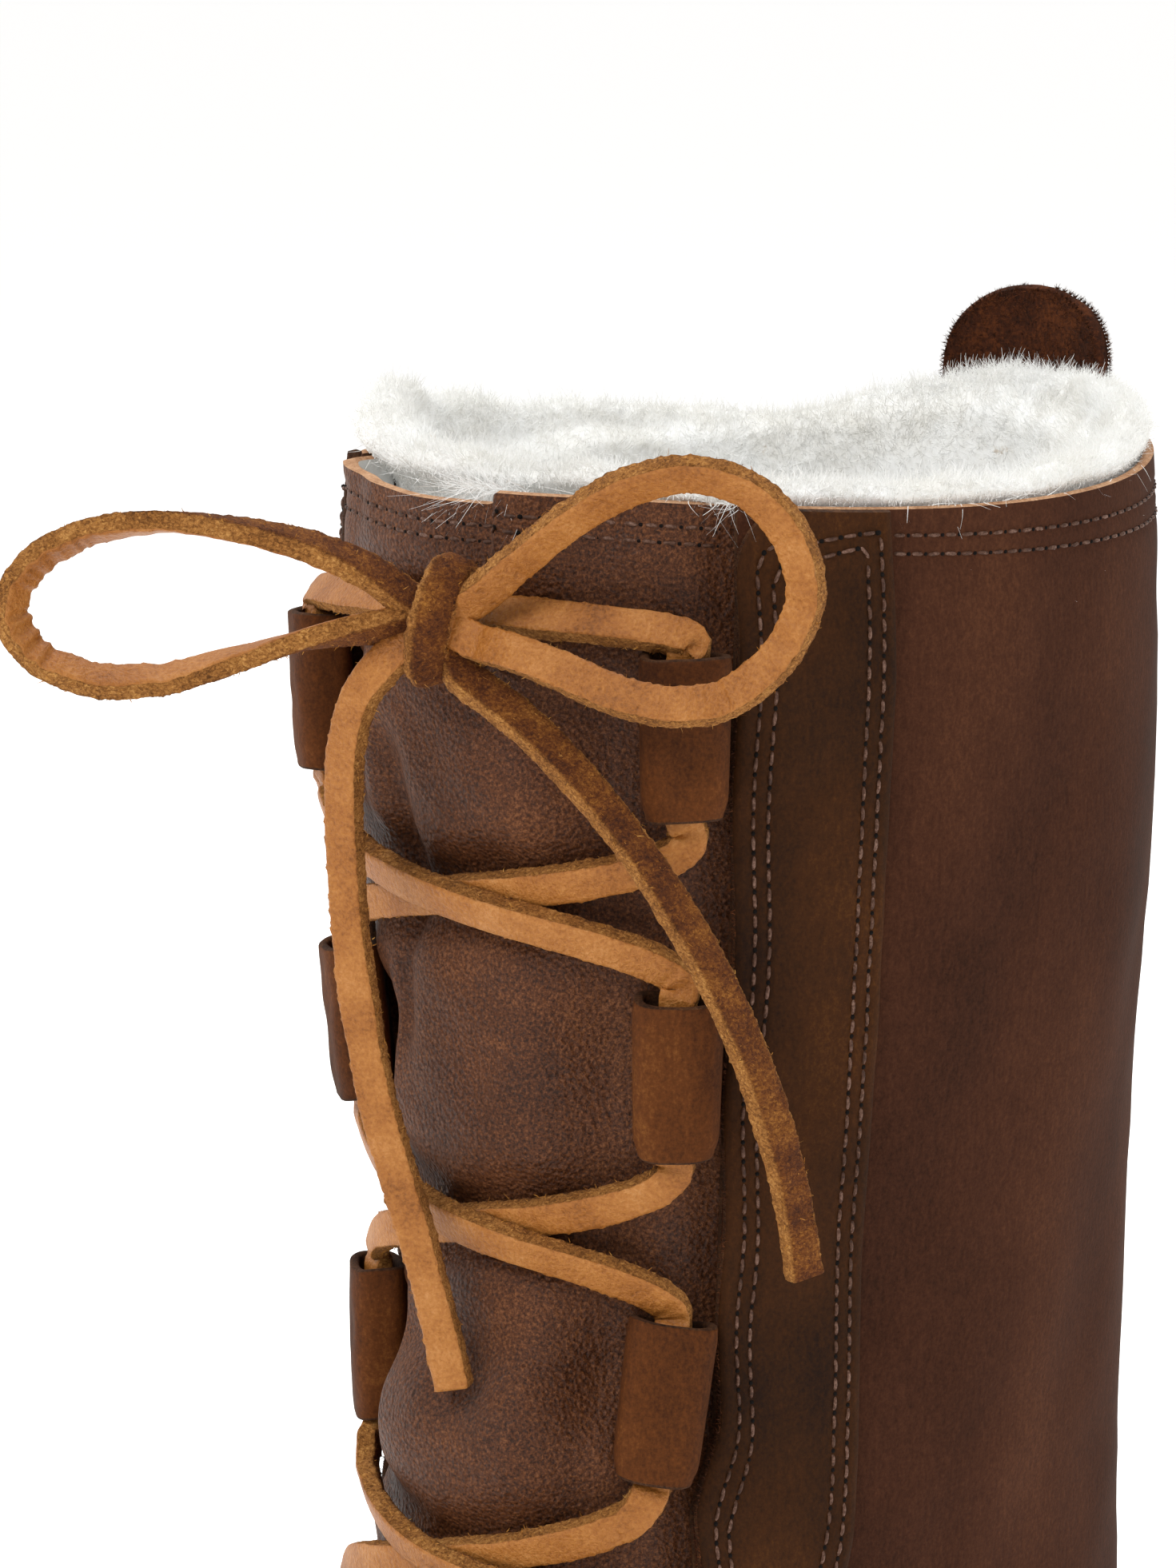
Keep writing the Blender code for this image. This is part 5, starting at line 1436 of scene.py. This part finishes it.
def seamLacing():
    # the moccasin seam: thick whip stitches over the apron's gathered edge
    row = np.concatenate([np.linspace(8.5, 2.9, 160), np.linspace(2.9, 8.5, 160)])
    side = np.repeat([-1, 1], 160)
    angle = side * apronReach(row) * 0.985
    line = upperOffset(angle, row, np.full(len(row), whip["lift"]))
    centres, ways, normals = stitchesAlong(line, upperNormal(angle, row), whip["pitch"])
    over = unit(np.cross(normals, ways) + ways * 0.35)
    stitchCapsules("apron_seam", centres, over, normals, size=whip)


seamLacing()
print("stitches")


fleece = {
    "pile": 10 * mm, "belowRim": 22 * mm, "insole": 5 * mm, "insoleRoom": 2.2 * mm, "lining": 4.2 * mm,
    "fibreWidth": 0.13 * mm,
    # the crest's height above the rim in millimetres, at angles in degrees from the front
    "crestAngles": (-180, -160, -145, -130, -120, -100, -80, -60, -40, -20, 0, 30, 60, 90, 120, 140, 160, 180),
    "crests": (4, 2.2, 1.2, 2.0, 3.8, 5.2, 8, 9.5, 7, 4.6, 3.8, 3.8, 3.6, 3.4, 4, 6, 5, 4),
}


def woolCrest(around):
    # the pile stands highest at the inner front and beside the tab, and is trodden down at the inner rear
    return smoothValue(fleece["crestAngles"], fleece["crests"], around / deg) * mm


def woolRing(around, turn):
    # the CAD ring of pile inside the rim: a rounded box section, taller than it is deep
    edge = np.where(around >= 0, form["throatOuter"], form["throatInner"]) + tongue["lap"]
    front = ease((edge + 20 * deg - np.abs(around)) / (14 * deg))
    face = form["wall"] + 2 * form["clearance"] + (tongue["thickness"] + tongue["gap"]) * front
    crest = woolCrest(around)
    rim = upperPoint(around, lastRow)[..., 2] - form["rearSag"] * hump(around, form["sagAngle"], form["sagSpread"])
    lift = -face - fleece["pile"] / 2 + fleece["pile"] / 2 * squared(np.cos(turn), 0.7)
    level = rim + (crest - fleece["belowRim"]) / 2
    level = level + (crest + fleece["belowRim"]) / 2 * squared(np.sin(turn), 0.8)
    # over the rim it stands out as far as the leather, and farther at the inner front
    spill = face + 0.4 * mm + 1.4 * mm * hump(around, -75 * deg, 35 * deg)
    low = np.clip(face - 2.8 * mm, 0, None)
    above = level - rim
    spill = low * ease((above + 3.5 * mm) / (3.2 * mm)) + (spill - low) * ease((above + 1.0 * mm) / (3.2 * mm))
    return shaftPoint(around, level, np.minimum(lift, -face) + spill)


def makeWool():
    # the lumpy bed that the collar's hairs stand on
    around = np.linspace(-math.pi, math.pi, 361)[:-1]
    turns = np.linspace(0, 2 * math.pi, 57)[:-1]
    aroundGrid, turnGrid = np.meshgrid(around, turns)
    grid = woolRing(aroundGrid, turnGrid)
    away = unit(grid - grid.mean(0, keepdims=True))
    locks = 0.8 * mm * millimetreNoise(grid, 14 * mm, 61) + 0.2 * mm * millimetreNoise(grid, 4 * mm, 62)
    # all but the side that lies on the leather
    free = np.clip(np.sin(turnGrid), 0, 1) + np.clip(-np.cos(turnGrid), 0, 1)
    grid = grid + away * (locks * np.clip(free, 0, 1))[..., None]
    faces = gridFaces(len(turns), len(around), wrapRows=True, wrapColumns=True, flip=True)
    thing = addMesh("wool_bed", grid.reshape(-1, 3), faces, [wool])
    recalculate(thing)
    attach(thing, "root")
    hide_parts("wool_collar")
    return grid, away


woolGrid, woolAway = makeWool()


def woolFibres(name, count, seed, turns, size, spread, droop):
    # hairs rooted on the bed, leaning away from it and together with the hairs beside them
    draw = np.random.default_rng(seed)
    around = draw.uniform(-math.pi, math.pi, count)
    kind, *ends = turns
    turn = draw.normal(*ends, count) if kind == "normal" else draw.uniform(*ends, count)
    column = (around + math.pi) / (2 * math.pi) * woolGrid.shape[1]
    ring = (turn / (2 * math.pi)) % 1 * woolGrid.shape[0]
    c, r = column.astype(int) % woolGrid.shape[1], ring.astype(int) % woolGrid.shape[0]
    nextC, nextR = (c + 1) % woolGrid.shape[1], (r + 1) % woolGrid.shape[0]
    u, v = (column % 1)[:, None], (ring % 1)[:, None]
    root = (woolGrid[r, c] * (1 - u) * (1 - v) + woolGrid[r, nextC] * u * (1 - v)
            + woolGrid[nextR, c] * (1 - u) * v + woolGrid[nextR, nextC] * u * v)
    away = unit(woolAway[r, c])
    lockWay = np.stack([millimetreNoise(root, 7 * mm, 70 + k) for k in range(3)], 1)
    lean = unit(away * 0.8 + lockWay * 0.4 + draw.normal(0, spread, (count, 3)) + np.array([0, 0, droop]))
    length = draw.uniform(0.5, 1.0, count) * size
    thing = fibreMesh(name, root - lean * 0.6 * mm, lean, length, fleece["fibreWidth"], wool, seed + 1, 0.9, 2)
    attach(thing, "root")


# where the roots stand round the bed's section, on top, inside and outside: the kind of draw and its two values
topTurns = ("normal", math.pi / 2 + 0.25, 0.75)
innerTurns = ("uniform", 0.6 * math.pi, 1.25 * math.pi)
outerTurns = ("uniform", 0.05 * math.pi, 0.5 * math.pi)
woolFibres("wool_pile_1", 26000, 81, topTurns, 3.0 * mm, 0.42, 0.1)
woolFibres("wool_pile_2", 20000, 83, topTurns, 2.2 * mm, 0.55, 0.0)
woolFibres("wool_pile_3", 22000, 85, innerTurns, 2.6 * mm, 0.45, 0.0)
woolFibres("wool_pile_4", 22000, 87, outerTurns, 1.9 * mm, 0.5, 0.2)


def makeLining():
    # the fleece goes on down inside the shaft and the foot as a thinner layer, behind the tongue too
    rows = np.linspace(1.6, 23, 120)
    angles = shellAngles(rows, 26, 62)
    gridRows = np.repeat(rows[:, None], angles.shape[1], axis=1)
    edge = np.where(angles >= 0, form["throatOuter"], form["throatInner"]) + tongue["lap"]
    front = ease((edge + 6 * deg - np.abs(angles)) / (6 * deg)) * ease((gridRows - 7.4) / 0.8)
    depth = form["wall"] + 0.25 * mm + (tongue["thickness"] + tongue["gap"]) * front
    outside = upperOffset(angles, gridRows, -depth)
    place = upperPoint(angles, gridRows)
    locks = 0.9 * mm * millimetreNoise(place, 7 * mm, 91) + 0.35 * mm * millimetreNoise(place, 2.6 * mm, 92)
    inside = upperOffset(angles, gridRows, -depth - fleece["lining"] - locks)
    closed = rows >= heelRow
    for grid in (outside, inside):
        seam = (grid[closed, 0] + grid[closed, -1]) / 2
        grid[closed, 0] = grid[closed, -1] = seam
    thing = sheetSolid("fleece_lining", outside, inside, [wool])


def makeInsole():
    # a fleece footbed, dished under the foot
    inset = form["soleLedge"] + form["wall"] + fleece["insoleRoom"]
    along = 0.5 - 0.4998 * np.cos(np.linspace(0, math.pi, 150))
    shares = np.sin(np.linspace(-math.pi / 2, math.pi / 2, 60))
    halves = [outlineHalf(along, side, inset)[:, None] for side in ("outer", "inner")]
    x = np.where(shares[None, :] >= 0, *halves) * shares[None, :]
    y = np.repeat(outlineY(along, inset)[:, None], len(shares), axis=1)
    low = np.stack([x, y, soleTop(y) + form["clearance"]], -1)
    lumps = 0.5 * mm * millimetreNoise(low, 7 * mm, 95) + 0.2 * mm * millimetreNoise(low, 2.5 * mm, 96)
    dish = 1.2 * mm * (1 - np.minimum(np.abs(shares) / 0.9, 1) ** 4)[None, :]
    high = low + np.array([0, 0, 1]) * (fleece["insole"] - dish + lumps - 0.4 * mm)[..., None]
    thing = sheetSolid("fleece_insole", high[::-1], low[::-1], [wool])
    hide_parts("insole")


makeLining()
makeInsole()
print("wool")


def leatherFuzz():
    # short torn fibres along the strips' raw front edges, and nap on the suede tab
    roots, leans, sizes = [], [], []
    draw = np.random.default_rng(201)
    for side in (1, -1):
        level = draw.uniform(*eyestay["rows"], 2600)
        angle = side * eyestayEdges(side, level)[0]
        lift = draw.uniform(0.5, 2.0, len(level)) * mm
        roots.append(upperOffset(angle, level, lift))
        normal = upperNormal(angle, level)
        forward = unit(upperPoint(angle, level) - upperPoint(angle + side * 0.01, level))
        leans.append(unit(forward + normal * 0.3 + draw.normal(0, 0.55, normal.shape)))
        sizes.append(draw.uniform(0.3, 1.0, len(level)) * mm)
    root, lean, size = (np.concatenate(part) for part in (roots, leans, sizes))
    thing = fibreMesh("edge_fuzz", root, lean, size, 0.13 * mm, suedeFibre, 203, 0.9)
    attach(thing, "root")
    count = 15000
    r = draw.uniform(0, tabGrid.shape[0] - 1.001, count)
    c = draw.uniform(0, tabGrid.shape[1] - 1.001, count)
    edge = draw.random(count) < 0.25
    c = np.where(edge, np.where(draw.random(count) < 0.5, 0, tabGrid.shape[1] - 1.001), c)
    ri, ci = r.astype(int), c.astype(int)
    face = draw.random(count) < 0.7
    root = np.where(face[:, None], tabGrid[ri, ci], tabInside[ri, ci])
    centre = tabGrid[tabGrid.shape[0] // 2].mean(0)
    normal = unit(np.cross(tabGrid[ri, np.minimum(ci + 1, tabGrid.shape[1] - 1)] - tabGrid[ri, ci] + 1e-9,
                           tabGrid[np.minimum(ri + 1, tabGrid.shape[0] - 1), ci] - tabGrid[ri, ci] + 1e-9))
    outward = unit(tabGrid[ri, ci] - centre)
    lean = unit(normal * np.where(face, 1, -1)[:, None] * 0.5 + outward * np.where(edge, 1.0, 0.25)[:, None]
                + draw.normal(0, 0.5, (count, 3)))
    thing = fibreMesh("tab_nap", root, lean, draw.uniform(0.3, 0.9, count) * mm, 0.15 * mm, suedeFibre, 207, 0.7)
    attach(thing, "root")


def strayHairs():
    # single wool hairs that curl over the rim where the tongue's layers meet and beside the strip
    roots, leans, sizes = [], [], []
    draw = np.random.default_rng(211)
    tufts = (
        # degrees from the front and spread, count, then length and lift off the leather in millimetres
        (0.5, 3.2, 330, 5.5, 2.6), (35.5, 1.8, 45, 5.5, 0), (60, 20, 60, 2.5, 0), (105, 30, 60, 2.0, 0),
        (-30, 10, 40, 2.0, 0))
    for angle, spread, count, length, out in tufts:
        at = draw.normal(angle * deg, spread * deg, count)
        row = np.full(count, lastRow + 0.03)
        normal = upperNormal(at, np.full(count, float(lastRow)))
        roots.append(upperOffset(at, row, (draw.uniform(-3.0, 0.2, count) + out) * mm))
        leans.append(unit(normal + [0, 0, -0.25] + draw.normal(0, 0.65, (count, 3))))
        sizes.append(draw.uniform(0.4, 1.0, count) * length * mm)
    root, lean, size = (np.concatenate(part) for part in (roots, leans, sizes))
    thing = fibreMesh("stray_hairs", root, lean, size, 0.11 * mm, wool, 213, 2.6, 7)
    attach(thing, "root")


leatherFuzz()
strayHairs()
print("fuzz and hairs")
